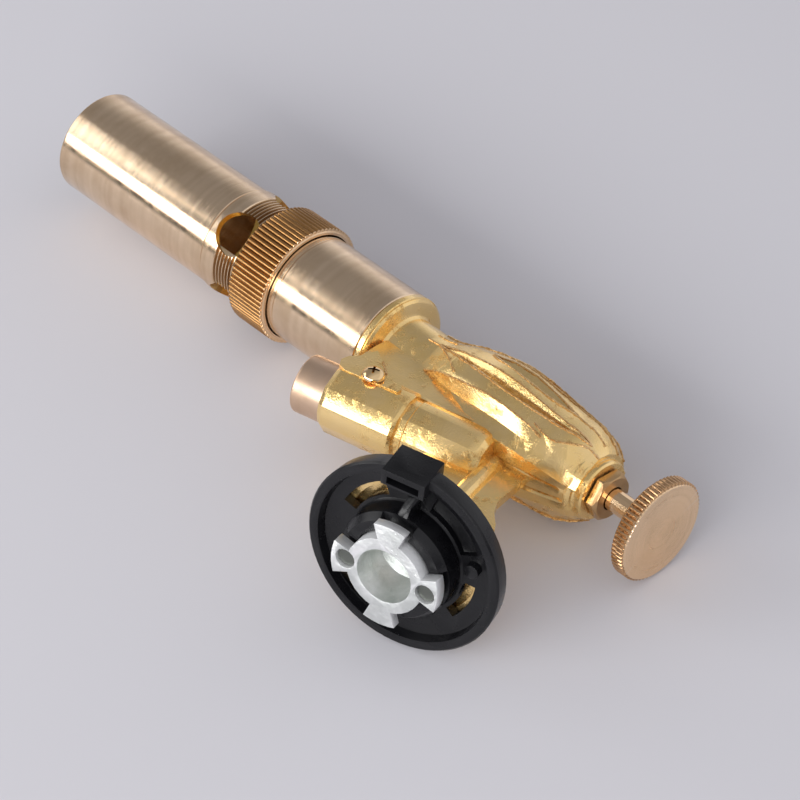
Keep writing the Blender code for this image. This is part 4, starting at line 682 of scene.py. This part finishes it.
def turned_metal(name, axis, colour, rough, fine=FINE_LINES, coarse=COARSE_LINES, facing=0.0,
                 bump=0.00002, dark_share=0.25, scratch=0.08, wear=0.0, metallic=1.0, painted_glow=0.0):
    """Lathe-turned metal with streaks, faint scratches, darker stains and worn bright crests, with
    painted shade in the hollows where it is worn and an optional painted glow.
    """
    material, tree, shader, coords = start_material(name, axis)
    # painted glow: emission that stands in for the light that a narrow hollow of bright metal passes
    # on from wall to wall
    shader["Emission Color"].default_value = colour
    shader["Emission Strength"].default_value = painted_glow
    shader["Metallic"].default_value = metallic
    marks = turning_marks(tree, coords, fine, coarse, facing)
    grain = grain_marks(tree, coords, *METAL_GRAIN)
    darker = shaded(colour, METAL_STAIN_AND_SHADE_SHARES)
    streak = span(tree, marks["Streaks"], STREAK_LEVELS, (0.0, dark_share))
    cloud = span(tree, grain["Clouds"], STAIN_LEVELS, (0.0, dark_share * STAIN_GAIN))
    stained_and_shaded = mixed(tree, cloud, mixed(tree, streak, colour, darker), darker)
    if wear:
        edges = edge_marks(tree, METAL_EDGE)
        bright = tuple(min(channel * METAL_CREST, METAL_CREST_LIMIT)
                       for channel in colour[:3]) + (1.0,)
        stained_and_shaded = mixed(tree, product(tree, edges["Edges"], wear), stained_and_shaded, bright)
        # painted shade: the hollows take the darker colour, as strongly as the crests take wear
        stained_and_shaded = mixed(tree, product(tree, edges["Shaded corners"], wear), stained_and_shaded, darker)
    tree.links.new(stained_and_shaded, shader["Base Color"])
    base = span(tree, marks["Streaks"], STREAK_ROUGH_LEVELS,
                (rough + STREAK_ROUGH[0], rough + STREAK_ROUGH[1]))
    marked = total(tree, base, product(tree, marks["Scratches"], scratch * SCRATCH_ROUGH))
    marked = total(tree, marked, span(tree, grain["Clouds"], STAIN_ROUGH_LEVELS, STAIN_ROUGH))
    tree.links.new(marked, shader["Roughness"])
    height = maths(tree, 'SUBTRACT', marks["Height"], product(tree, marks["Scratches"], scratch))
    height = total(tree, height, product(tree, marks["Streaks"], STREAK_HEIGHT))
    tree.links.new(raised(tree, height, bump), shader["Normal"])
    return material


# Cast metal: pattern scales per metre, noise levels and what they give.
CAST_FINE_GRAIN = (520.0, 2600.0)
CAST_WIDE_GRAIN = (115.0, 1100.0)
CAST_BRONZE_SHARES = (0.5, 0.38, 0.26)
CAST_DEEP_SHARES = (0.98, 0.93, 0.75)
CORNER_DISTANCE = 0.0022
CORNER_SAMPLES = 6
CORNER_LEVELS = (0.35, 0.85)
CORNER_PATCH = 0.16
CORNER_SHADE = 0.3
DEEP_LEVELS = (0.36, 0.6)
DEEP_MOST = 0.8
PATCH_BREAK = 0.9
PATCH_LEVELS = (0.58, 0.75)
PATCH_WORN = 0.15
GRIT_LEVELS = (0.4, 0.62)
GRIT_RESULTS = (0.1, 0.85)
CAST_METALLIC = 0.92
CAST_ROUGH_LEVELS = (0.3, 0.75)
CAST_ROUGH = (0.15, 0.26)
PATCH_ROUGH = 0.25
CAST_RELIEF = 0.00022
WIDE_HEIGHT = 0.08
FINE_HEIGHT = 0.07
PATCH_HEIGHT = 0.3
PIT_HEIGHT = 0.14


def cast_metal(name, colour, worn=0.0):
    """Plated die casting: bright wavy faces, rough dark patches, painted shade in the corners."""
    material, tree, shader, coords = start_material(name)
    grain = grain_marks(tree, coords, *CAST_FINE_GRAIN)
    wide = grain_marks(tree, coords, *CAST_WIDE_GRAIN)
    # painted shade: ambient occlusion darkens the corners toward the bronze colour
    hidden = node(tree, 'ShaderNodeAmbientOcclusion', {'Distance': CORNER_DISTANCE},
                  samples=CORNER_SAMPLES)
    corner = span(tree, hidden.outputs["AO"], CORNER_LEVELS, (1.0, 0.0))
    tone = mixed(tree, span(tree, wide["Clouds"], DEEP_LEVELS, (0.0, DEEP_MOST)), colour,
                 shaded(colour, CAST_DEEP_SHARES))
    # rough patches: broad clouds broken up by the fine grain, and drawn into the corners by the
    # painted corner shade
    uneven = product(tree, maths(tree, 'SUBTRACT', grain["Clouds"], 0.5), PATCH_BREAK)
    broken = total(tree, total(tree, wide["Clouds"], uneven), product(tree, corner, CORNER_PATCH))
    patches = span(tree, broken, [level - worn * PATCH_WORN for level in PATCH_LEVELS])
    grit = span(tree, grain["Pits"], GRIT_LEVELS, GRIT_RESULTS)
    dirt_and_shade = maths(tree, 'MAXIMUM', product(tree, patches, grit),
                 product(tree, corner, CORNER_SHADE))
    tree.links.new(mixed(tree, dirt_and_shade, tone, shaded(colour, CAST_BRONZE_SHARES)),
                   shader["Base Color"])
    shader["Metallic"].default_value = CAST_METALLIC
    rough = total(tree, span(tree, grain["Clouds"], CAST_ROUGH_LEVELS, CAST_ROUGH),
                  product(tree, patches, PATCH_ROUGH))
    tree.links.new(rough, shader["Roughness"])
    height = total(tree, product(tree, wide["Clouds"], WIDE_HEIGHT),
                   product(tree, grain["Clouds"], FINE_HEIGHT))
    pitted = product(tree, total(tree, product(tree, patches, PATCH_HEIGHT), PIT_HEIGHT),
                     grain["Pits"])
    tree.links.new(raised(tree, total(tree, height, pitted), CAST_RELIEF), shader["Normal"])
    return material


# Moulded pieces: pattern scales per metre, noise levels and what they give.
MOULDED_CLOUDS = 110.0
MOULDED_EDGE = 0.1
MOULDED_LIFT = 0.015
MOULDED_SHADE_SHARES = (0.5, 0.5, 0.5)
MOULDED_CORNER_SHADE = 0.6
SCUFF_LEVELS = (0.4, 0.75)
MOULDED_ROUGH_LEVELS = (0.3, 0.7)
MOULDED_ROUGH = (-0.07, 0.1)
SPECK_HEIGHT = 0.3


def moulded(name, colour, rough, grain_scale=1600.0, bump=0.00003, metallic=0.0, wear=0.35,
            lift=1.6, specular=0.5):
    """Moulded plastic, rubber, ceramic or die-cast zinc with grain, scuffs, paler edges and painted
    shade in the corners.
    """
    material, tree, shader, coords = start_material(name)
    grain = grain_marks(tree, coords, MOULDED_CLOUDS, grain_scale)
    edges = edge_marks(tree, MOULDED_EDGE)
    lighter = tuple(min(channel * lift + MOULDED_LIFT, 1.0) for channel in colour[:3]) + (1.0,)
    darker = shaded(colour, MOULDED_SHADE_SHARES)
    base = mixed(tree, span(tree, grain["Clouds"], SCUFF_LEVELS, (0.0, wear)), colour, lighter)
    base = mixed(tree, product(tree, edges["Edges"], wear), base, lighter)
    # painted shade: the corners take the darker colour
    base = mixed(tree, product(tree, edges["Shaded corners"], MOULDED_CORNER_SHADE), base, darker)
    tree.links.new(base, shader["Base Color"])
    shader["Metallic"].default_value = metallic
    shader["Specular IOR Level"].default_value = specular
    tree.links.new(span(tree, grain["Clouds"], MOULDED_ROUGH_LEVELS,
                        (rough + MOULDED_ROUGH[0], rough + MOULDED_ROUGH[1])),
                   shader["Roughness"])
    height = total(tree, grain["Pits"], product(tree, grain["Specks"], SPECK_HEIGHT))
    tree.links.new(raised(tree, height, bump), shader["Normal"])
    return material


FINISHES = {
    "satin_brass": lambda name: turned_metal(
        name, BODY_AXIS, colours().satin, 0.14, coarse=420.0, bump=0.00004, dark_share=0.4),
    # the bore's brass carries a painted glow, an emission that stands in for light passed on from
    # wall to wall
    "bore_brass_painted_glow": lambda name: turned_metal(
        name, BODY_AXIS, (1.0, 0.72, 0.22, 1.0), 0.2, metallic=0.85, dark_share=0.6, painted_glow=0.11),
    "hole_brass": lambda name: turned_metal(
        name, BODY_AXIS, (0.95, 0.66, 0.28, 1.0), 0.2, dark_share=0.5),
    "nut_brass": lambda name: turned_metal(
        name, BODY_AXIS, (0.64, 0.42, 0.21, 1.0), 0.3, dark_share=0.4),
    "thread_brass": lambda name: turned_metal(name, BODY_AXIS, (0.42, 0.26, 0.13, 1.0), 0.3),
    "knurled_brass": lambda name: turned_metal(
        name, BODY_AXIS, colours().knurl, 0.26, dark_share=0.6, wear=0.4),
    "turned_knob": lambda name: turned_metal(
        name, BODY_AXIS, colours().knob, 0.2, fine=4200.0, coarse=900.0, facing=1.0, bump=0.0001,
        wear=0.22),
    "knob_knurl": lambda name: turned_metal(
        name, BODY_AXIS, (0.45, 0.275, 0.145, 1.0), 0.24, dark_share=0.3, wear=0.7),
    "turned_stem": lambda name: turned_metal(
        name, BODY_AXIS, colours().knob, 0.16, bump=0.000008),
    "cap_brass": lambda name: turned_metal(
        name, IGNITER_AXIS, (0.80, 0.58, 0.42, 1.0), 0.36, dark_share=0.35),
    "screw_brass": lambda name: turned_metal(
        name, BODY_AXIS, (0.90, 0.64, 0.34, 1.0), 0.1, bump=0.000006),
    "gold_casting": lambda name: cast_metal(name, colours().casting),
    "worn_ridge": lambda name: cast_metal(name, (0.8, 0.54, 0.27, 1.0), 1.0),
    "black_plastic": lambda name: moulded(name, colours().plastic, 0.27, wear=0.15, specular=0.35),
    "zinc": lambda name: moulded(
        name, colours().zinc, 0.48, metallic=0.7, bump=0.00006, wear=0.5, lift=1.2),
    # the insert's bore: rougher, mottled zinc whose darker colour is partly painted shade inside the
    # bore
    "bore_zinc_shaded": lambda name: moulded(
        name, (0.58, 0.61, 0.58, 1.0), 0.42, metallic=0.9, grain_scale=700.0, bump=0.0002,
        wear=0.9, lift=1.7),
    "steel": lambda name: moulded(name, (0.5, 0.5, 0.51, 1.0), 0.3, metallic=1.0),
    "dark_steel": lambda name: moulded(
        name, (0.085, 0.09, 0.08, 1.0), 0.36, metallic=0.9, wear=0.6, lift=2.2),
    "ceramic": lambda name: moulded(name, (0.8, 0.78, 0.72, 1.0), 0.35),
    "rubber": lambda name: moulded(name, (0.02, 0.02, 0.02, 1.0), 0.6),
}


def finish_of(key):
    """Each finish is made once and shared by the pieces that have it."""
    return bpy.data.materials.get(LOOK + key) or FINISHES[key](key)


# Pieces
class TORCH_OT_flame_tube(bpy.types.Operator):
    """Flame tube with a rounded lip and a plain bore"""
    bl_idname = "torch.flame_tube"
    bl_label = "Flame tube"

    def execute(self, context):
        profile = rounded_loop((
            (TUBE_START, TUBE_BORE), (TUBE_START, TUBE_RADIUS), (TUBE_END, TUBE_RADIUS),
            (TUBE_END, TUBE_BORE)), sizes().edge_round * TUBE_LIP_SHARE, LIP_STEPS)
        piece = mesh_object(turned(profile, closed=True), "flame_tube_skin", BODY_AXIS)
        dress(piece, "satin_brass", "body", "flame_tube")
        return {'FINISHED'}


def barrel_profile(edge, pitch, depth):
    """Closed outline of the rear barrel, along its outside and back through its bore."""
    crest = BARREL_RADIUS - THREAD_STEP
    turns = int((THREAD_END - THREAD_START) / pitch)
    end = THREAD_START + turns * pitch
    profile = [(BARREL_START, BARREL_RADIUS - edge), (BARREL_START + edge, BARREL_RADIUS)]
    for place in reversed(GROOVES):
        profile += [(place + GROOVE_WIDTH * across, BARREL_RADIUS - GROOVE_DEPTH * deep)
                    for across, deep in GROOVE_SHARES]
    profile.append((THREAD_START - edge, BARREL_RADIUS))
    for k in range(turns):
        place = THREAD_START + k * pitch
        profile += [(place + pitch * share, crest) for share in THREAD_CREST_SHARES]
        profile += [(place + pitch * share, crest - depth) for share in THREAD_ROOT_SHARES]
    return profile + [
        (end, crest), (end + edge / 2, BARREL_RADIUS - edge / 4), (end + edge, BARREL_RADIUS),
        (BARREL_END - edge, BARREL_RADIUS), (BARREL_END, BARREL_RADIUS - edge),
        (BARREL_END, SPIGOT_RADIUS), (SPIGOT_END, SPIGOT_RADIUS), (SPIGOT_END, SPIGOT_BORE),
        (BARREL_END, SPIGOT_BORE), (BARREL_END - (BARREL_BORE - SPIGOT_BORE), BARREL_BORE),
        (BARREL_START, BARREL_BORE)]


def barrel_finishes(piece, edge, depth):
    """Adds the finishes of the bore, the thread below its crests and the air holes' walls."""
    for finish in ("bore_brass_painted_glow", "thread_brass", "hole_brass"):
        piece.data.materials.append(finish_of(finish))
    flank = BARREL_RADIUS - THREAD_STEP - depth * THREAD_FLANK_SHARE
    inverse = BODY_AXIS.inverted()
    for face in piece.data.polygons:
        centre = inverse @ face.center
        reach = math.hypot(centre.x, centre.y)
        radial = Vector((centre.x, centre.y, 0.0)).normalized()
        outward = (inverse.to_3x3() @ face.normal).dot(radial)
        in_hole = (abs(centre.z - AIR_HOLE_PLACE) < AIR_HOLE_RADIUS * HOLE_REACH_SHARE
                   and abs(outward) < HOLE_WALL_LEAN)
        if reach < BARREL_BORE + edge / 2:
            face.material_index = 1
        elif in_hole:
            face.material_index = 3
        elif THREAD_START < centre.z < THREAD_END and reach < flank:
            face.material_index = 2


class TORCH_OT_rear_barrel(bpy.types.Operator):
    """Rear barrel with its fine thread, grooves and four air holes"""
    bl_idname = "torch.rear_barrel"
    bl_label = "Rear barrel"

    def execute(self, context):
        edge = sizes().edge_round
        depth = sizes().thread_depth
        profile = barrel_profile(edge, sizes().thread_pitch, depth)
        piece = mesh_object(turned(profile, closed=True), "rear_barrel_skin", BODY_AXIS)
        tools = []
        for degrees in AIR_HOLE_ANGLES:
            turn = Matrix.Rotation(math.radians(degrees), 4, 'Z')
            lay = Matrix.Rotation(math.pi / 2, 4, 'Y')
            place = Matrix.Translation((0, 0, AIR_HOLE_PLACE))
            hole = drum(BARREL_BORE / 2, BARREL_RADIUS * HOLE_OVER_SHARE, AIR_HOLE_RADIUS,
                        HOLE_STEPS)
            tools.append((hole, BODY_AXIS @ place @ turn @ lay))
        carve(piece, tools)
        dress(piece, "satin_brass", "body", "rear_barrel", THREAD_SHARP)
        barrel_finishes(piece, edge, depth)
        return {'FINISHED'}


class TORCH_OT_air_ring(bpy.types.Operator):
    """Knurled air ring"""
    bl_idname = "torch.air_ring"
    bl_label = "Air ring"

    def execute(self, context):
        edge = sizes().edge_round
        lip = RING_ROOT - edge * 1.5
        levels = (
            (RING_START, RING_BORE, RING_BORE),
            (RING_START, lip, lip),
            (RING_START + edge, RING_ROOT - edge / 2, RING_ROOT - edge / 2),
            (RING_START + edge * 1.1, RING_RADIUS - edge / 4, RING_ROOT - edge / 4),
            (RING_START + edge * 1.5, RING_RADIUS, RING_ROOT),
            (RING_END - edge * 3, RING_RADIUS, RING_ROOT),
            (RING_END - edge * 2, RING_RADIUS - edge / 4, RING_ROOT),
            (RING_END - edge, RING_ROOT, RING_ROOT - edge / 2),
            (RING_END, lip, lip),
            (RING_END, RING_BORE, RING_BORE),
        )
        piece = mesh_object(knurled(levels, RING_TEETH, True), "air_ring_skin", BODY_AXIS)
        dress(piece, "knurled_brass", "ring", "air_ring", KNURL_SHARP)
        second_finish(piece, "turned_knob", BODY_AXIS,
                      lambda centre: centre.z < RING_START + edge * RING_FACE_SHARE)
        return {'FINISHED'}


class TORCH_OT_casting(bpy.types.Operator):
    """Gold casting with fluted valve body, igniter housing, leg and base"""
    bl_idname = "torch.casting"
    bl_label = "Casting"

    def execute(self, context):
        piece = crisp("body_casting", "casting_skin", sizes().casting_edge, CASTING_BEVEL)
        plain = len(piece.data.polygons)
        ridge_beads(piece, sizes().ridge_width)
        dress(piece, "gold_casting", "body", "body_casting", CASTING_SHARP)
        piece.data.materials.append(finish_of("worn_ridge"))
        for face in piece.data.polygons[plain:]:
            face.material_index = 1
            face.use_smooth = True
        return {'FINISHED'}


class TORCH_OT_knob(bpy.types.Operator):
    """Valve knob with turned face and fine knurl, and its spindle"""
    bl_idname = "torch.knob"
    bl_label = "Knob and spindle"

    def execute(self, context):
        edge = sizes().edge_round
        hole = STEM_RADIUS + edge
        rim = KNOB_ROOT - edge
        inner = rim * KNOB_LOOP_SHARE
        levels = (
            (KNOB_BACK, 0.0, 0.0), (KNOB_BACK, hole, hole), (KNOB_BACK, rim, rim),
            (KNOB_BACK - edge, KNOB_ROOT, KNOB_ROOT - edge / 2),
            (KNOB_BACK - edge * 2, KNOB_RADIUS, KNOB_ROOT),
            (KNOB_FACE + edge * 2, KNOB_RADIUS, KNOB_ROOT),
            (KNOB_FACE + edge, KNOB_ROOT, KNOB_ROOT - edge / 2),
            (KNOB_FACE, rim, rim), (KNOB_FACE, inner, inner), (KNOB_FACE, 0.0, 0.0),
        )
        piece = mesh_object(knurled(levels, KNOB_TEETH, False), "knob_skin", BODY_AXIS)
        dress(piece, "turned_knob", "valve", "knob", KNURL_SHARP)
        front = KNOB_FACE + edge * KNOB_FACE_SHARE
        second_finish(piece, "knob_knurl", BODY_AXIS,
                      lambda centre: front < centre.z < KNOB_BACK - edge / 2)
        refinish("spindle", "turned_stem")
        return {'FINISHED'}


class TORCH_OT_gland(bpy.types.Operator):
    """Hexagonal gland nut with a turned face"""
    bl_idname = "torch.gland"
    bl_label = "Gland nut"

    def execute(self, context):
        edge = sizes().edge_round
        over = HEX_RADIUS * CROWN_OVER_SHARE
        bm = drum(HEX_START, HEX_END, HEX_RADIUS, 6)
        bmesh.ops.bevel(bm, geom=list(bm.edges), offset=edge, offset_type='OFFSET', segments=3,
                        profile=0.5, affect='EDGES', material=-1)
        piece = mesh_object(bm, "gland_nut_skin", BODY_AXIS)
        crown = turned((
            (HEX_START - edge, 0.0), (HEX_START - edge, HEX_RADIUS * CROWN_SHARE),
            (HEX_START + edge * 4, over), (HEX_END + edge, over), (HEX_END + edge, 0.0)))
        hole = drum(HEX_START * HEX_HOLE_SHARES[0], HEX_END * HEX_HOLE_SHARES[1],
                    STEM_RADIUS * STEM_HOLE_SHARE)
        carve(piece, [(crown, BODY_AXIS)], 'INTERSECT')
        carve(piece, [(hole, BODY_AXIS)])
        dress(piece, "nut_brass", "body", "gland_nut")
        return {'FINISHED'}


class TORCH_OT_button(bpy.types.Operator):
    """Igniter button cap with a rounded rim"""
    bl_idname = "torch.button"
    bl_label = "Igniter button"

    def execute(self, context):
        profile = rounded((
            (CAP_FLOOR, 0.0), (CAP_FLOOR, CAP_BORE), (CAP_START, CAP_BORE),
            (CAP_START, CAP_RADIUS), (CAP_END, CAP_RADIUS), (CAP_END, 0.0)),
            sizes().edge_round * CAP_RIM_SHARE, RIM_STEPS)
        piece = mesh_object(turned(profile), "button_cap_skin", IGNITER_AXIS)
        dress(piece, "cap_brass", "button", "button_cap")
        return {'FINISHED'}


class TORCH_OT_collar(bpy.types.Operator):
    """Black collar disc and zinc bayonet insert"""
    bl_idname = "torch.collar"
    bl_label = "Collar disc and insert"

    def execute(self, context):
        edge = sizes().plastic_edge
        disc = crisp("collar_disc", "collar_disc_skin", edge, MOULDED_BEVEL)
        dress(disc, "black_plastic", "body", "collar_disc")
        insert = crisp("bayonet_insert", "insert_skin", edge, MOULDED_BEVEL)
        dress(insert, "zinc", "body", "bayonet_insert")
        bore = INSERT_BORE * INSERT_BORE_SHARE + edge
        second_finish(insert, "bore_zinc_shaded", RESTING,
                      lambda centre: math.hypot(centre.x, centre.y) < bore)
        return {'FINISHED'}


def cross_bars():
    """The two bars of the screws' cross recess, which narrows toward its floor."""
    bars = []
    for size in ((CROSS_LENGTH, CROSS_WIDTH), (CROSS_WIDTH, CROSS_LENGTH)):
        bar = bmesh.new()
        bmesh.ops.create_cube(bar, size=1.0)
        bmesh.ops.scale(bar, vec=(*size, CROSS_DEPTH * 2), verts=bar.verts)
        for vert in bar.verts:
            if vert.co.z < 0:
                vert.co.x *= CROSS_FLOOR_SHARE
                vert.co.y *= CROSS_FLOOR_SHARE
        bmesh.ops.translate(bar, vec=(0, 0, SCREW_HEAD_HEIGHT), verts=bar.verts)
        bars.append(bar)
    return bars


class TORCH_OT_screws(bpy.types.Operator):
    """Two domed screws with a cross recess in the housing pads"""
    bl_idname = "torch.screws"
    bl_label = "Housing screws"

    def execute(self, context):
        profile = [(-SCREW_SHANK_LENGTH, 0.0), (-SCREW_SHANK_LENGTH, SCREW_SHANK_RADIUS),
                   (0.0, SCREW_SHANK_RADIUS), (0.0, SCREW_HEAD_RADIUS * SCREW_SEAT_SHARE)]
        for k in range(DOME_STEPS + 1):
            angle = math.pi / 2 * k / DOME_STEPS
            rise = SCREW_RIM_SHARE + SCREW_DOME_SHARE * math.sin(angle)
            profile.append((SCREW_HEAD_HEIGHT * rise, SCREW_HEAD_RADIUS * math.cos(angle)))
        across = Vector((1.0, 0.0, 0.0))
        for name, side in (("housing_screw_upper", 1.0), ("housing_screw_lower", -1.0)):
            out = Vector((0.0, side, 0.0))
            place = Matrix((across, out.cross(across), out)).transposed().to_4x4()
            place.translation = Vector((SCREW_X, side * SCREW_SEAT, SCREW_Z))
            place = RESTING @ place @ Matrix.Rotation(SCREW_TURN, 4, 'Z')
            screw = mesh_object(turned(profile, steps=SCREW_STEPS), name + "_skin", place)
            carve(screw, [(bar, place) for bar in cross_bars()])
            dress(screw, "screw_brass", "body", name)
        return {'FINISHED'}


# Finishes of the CAD nodes that stay as they are.
CARRIED = {
    "rubber": ("air_ring_seal", "gland_packing", "inlet_seal", "spindle_seal"),
    "dark_steel": ("bayonet_screw_front", "bayonet_screw_rear"),
    "steel": ("electrode", "flame_holder", "inlet_filter"),
    "ceramic": ("electrode_insulator",),
    "satin_brass": ("inlet_nipple", "valve_seat"),
    "bore_brass_painted_glow": ("jet_nozzle", "jet_tube"),
    "black_plastic": ("piezo_body", "piezo_plunger"),
}


def refinish(node_name, finish):
    """Gives a CAD node a finish in the place of its plain material."""
    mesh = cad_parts[node_name].data
    mesh.materials.clear()
    mesh.materials.append(finish_of(finish))


class TORCH_OT_carried(bpy.types.Operator):
    """Finishes of the CAD nodes that stay as they are"""
    bl_idname = "torch.carried"
    bl_label = "Carried nodes"

    def execute(self, context):
        for finish, names in CARRIED.items():
            for name in names:
                refinish(name, finish)
        return {'FINISHED'}


# Studio. A lamp is its place, the point that it faces, its width and its height.
FLOOR_REACH = 3.0
FLOOR_ROUGH = 0.9
KEY_LAMP = ((0.0, -1.6, 0.72), (0, 0, 0.02), 3.5, 0.64)
SIDE_LAMP = ((-1.1, -0.5, 0.7), (0, 0, 0), 0.7, 0.7)

# Brightness of the room by direction: a pair of heights or sides, then a pair of levels.
BEHIND_HEIGHTS, BEHIND_LEVELS = (0.0, 0.6), (0.95, 0.27)
BEFORE_HEIGHTS, BEFORE_LEVELS = (0.06, 0.5), (0.1, 0.3)
BACK_AND_FRONT = (-0.25, 0.35)
WALL_SIDES, WALL_LEVELS = (-0.35, 0.3), (0.0, 0.38)
WALL_HEIGHTS = (0.1, 0.45)
ROOM_BLUE = 1.05

CAMERA_LENS = 163.1397
CAMERA_SENSOR = 36.0
CAMERA_PLACE = (0.4669159, -0.3585532, 0.5710326)
CAMERA_AIM = (0.011982, 0.02127, 0.0)
CAMERA_ROLL = math.radians(-5.3682)


def looking(place, aim):
    """Matrix of a lamp or camera that stands at the place and faces the aim."""
    turn = (Vector(aim) - Vector(place)).to_track_quat('-Z', 'Y').to_matrix().to_4x4()
    return Matrix.Translation(place) @ turn


def paper_floor(colour):
    bm = bmesh.new()
    bmesh.ops.create_grid(bm, x_segments=1, y_segments=1, size=FLOOR_REACH)
    floor = mesh_object(bm, "paper_floor", Matrix.Identity(4))
    paper = bpy.data.materials.new("paper")
    paper.use_nodes = True
    shader = paper.node_tree.nodes["Principled BSDF"].inputs
    shader["Base Color"].default_value = colour
    shader["Roughness"].default_value = FLOOR_ROUGH
    floor.data.materials.append(paper)


def soft_lamp(name, place, aim, width, height, power):
    lamp = bpy.data.lights.new(name, 'AREA')
    lamp.shape = 'RECTANGLE'
    lamp.size = width
    lamp.size_y = height
    lamp.energy = power
    item = bpy.data.objects.new(name, lamp)
    item.matrix_world = looking(place, aim)
    bpy.context.scene.collection.objects.link(item)


def studio_room():
    """Soft room light: brighter low behind the torch, with a pale wall on the knob's side."""
    world = bpy.data.worlds.new("studio")
    bpy.context.scene.world = world
    world.use_nodes = True
    tree = world.node_tree
    coords = node(tree, 'ShaderNodeTexCoord').outputs["Generated"]
    across, deep, up = node(tree, 'ShaderNodeSeparateXYZ', {0: coords}).outputs
    behind = span(tree, up, BEHIND_HEIGHTS, BEHIND_LEVELS)
    before = span(tree, up, BEFORE_HEIGHTS, BEFORE_LEVELS)
    side = span(tree, deep, BACK_AND_FRONT)
    level = total(tree, product(tree, side, behind),
                  product(tree, maths(tree, 'SUBTRACT', 1.0, side), before))
    wall = product(tree, span(tree, across, WALL_SIDES, WALL_LEVELS),
                   span(tree, up, WALL_HEIGHTS))
    level = total(tree, level, wall)
    tone = node(tree, 'ShaderNodeCombineXYZ', {
        0: level, 1: level, 2: product(tree, level, ROOM_BLUE)})
    tree.links.new(tone.outputs[0], tree.nodes["Background"].inputs["Color"])


def photo_camera():
    camera = bpy.data.cameras.new("camera")
    camera.lens = CAMERA_LENS
    camera.sensor_width = CAMERA_SENSOR
    item = bpy.data.objects.new("camera", camera)
    item.matrix_world = looking(CAMERA_PLACE, CAMERA_AIM) @ Matrix.Rotation(CAMERA_ROLL, 4, 'Z')
    bpy.context.scene.collection.objects.link(item)
    bpy.context.scene.camera = item


class TORCH_OT_stage(bpy.types.Operator):
    """Paper floor, soft studio light and the camera"""
    bl_idname = "torch.stage"
    bl_label = "Studio"

    def execute(self, context):
        studio = context.scene.torch_studio
        paper_floor(studio.floor)
        soft_lamp("key", *KEY_LAMP, studio.key_power)
        soft_lamp("side", *SIDE_LAMP, studio.fill_power)
        studio_room()
        photo_camera()
        context.scene.view_settings.view_transform = 'Standard'
        return {'FINISHED'}


PIECES = (
    TORCH_OT_flame_tube, TORCH_OT_rear_barrel, TORCH_OT_air_ring, TORCH_OT_casting,
    TORCH_OT_knob, TORCH_OT_gland, TORCH_OT_button, TORCH_OT_collar, TORCH_OT_screws,
    TORCH_OT_carried, TORCH_OT_stage,
)


class TORCH_PT_panel(bpy.types.Panel):
    """Lists the torch's pieces and settings"""
    bl_idname = "TORCH_PT_panel"
    bl_label = "Torch head"
    bl_space_type = 'VIEW_3D'
    bl_region_type = 'UI'
    bl_category = "Torch"

    def draw(self, context):
        layout = self.layout
        for group in ("torch_sizes", "torch_colours", "torch_studio"):
            settings = getattr(context.scene, group)
            box = layout.box()
            for name in settings.bl_rna.properties.keys():
                if name not in ("rna_type", "name"):
                    box.prop(settings, name)
        for piece in PIECES:
            layout.operator(piece.bl_idname)


CLASSES = (TorchSizes, TorchColours, TorchStudio, *PIECES, TORCH_PT_panel)


def register():
    for item in CLASSES:
        bpy.utils.register_class(item)
    bpy.types.Scene.torch_sizes = bpy.props.PointerProperty(type=TorchSizes)
    bpy.types.Scene.torch_colours = bpy.props.PointerProperty(type=TorchColours)
    bpy.types.Scene.torch_studio = bpy.props.PointerProperty(type=TorchStudio)


def unregister():
    del bpy.types.Scene.torch_studio
    del bpy.types.Scene.torch_colours
    del bpy.types.Scene.torch_sizes
    for item in reversed(CLASSES):
        bpy.utils.unregister_class(item)


def main():
    register()
    bpy.ops.torch.flame_tube()
    bpy.ops.torch.rear_barrel()
    bpy.ops.torch.air_ring()
    bpy.ops.torch.casting()
    bpy.ops.torch.knob()
    bpy.ops.torch.gland()
    bpy.ops.torch.button()
    bpy.ops.torch.collar()
    bpy.ops.torch.screws()
    bpy.ops.torch.carried()
    bpy.ops.torch.stage()


if __name__ == "__main__":
    main()
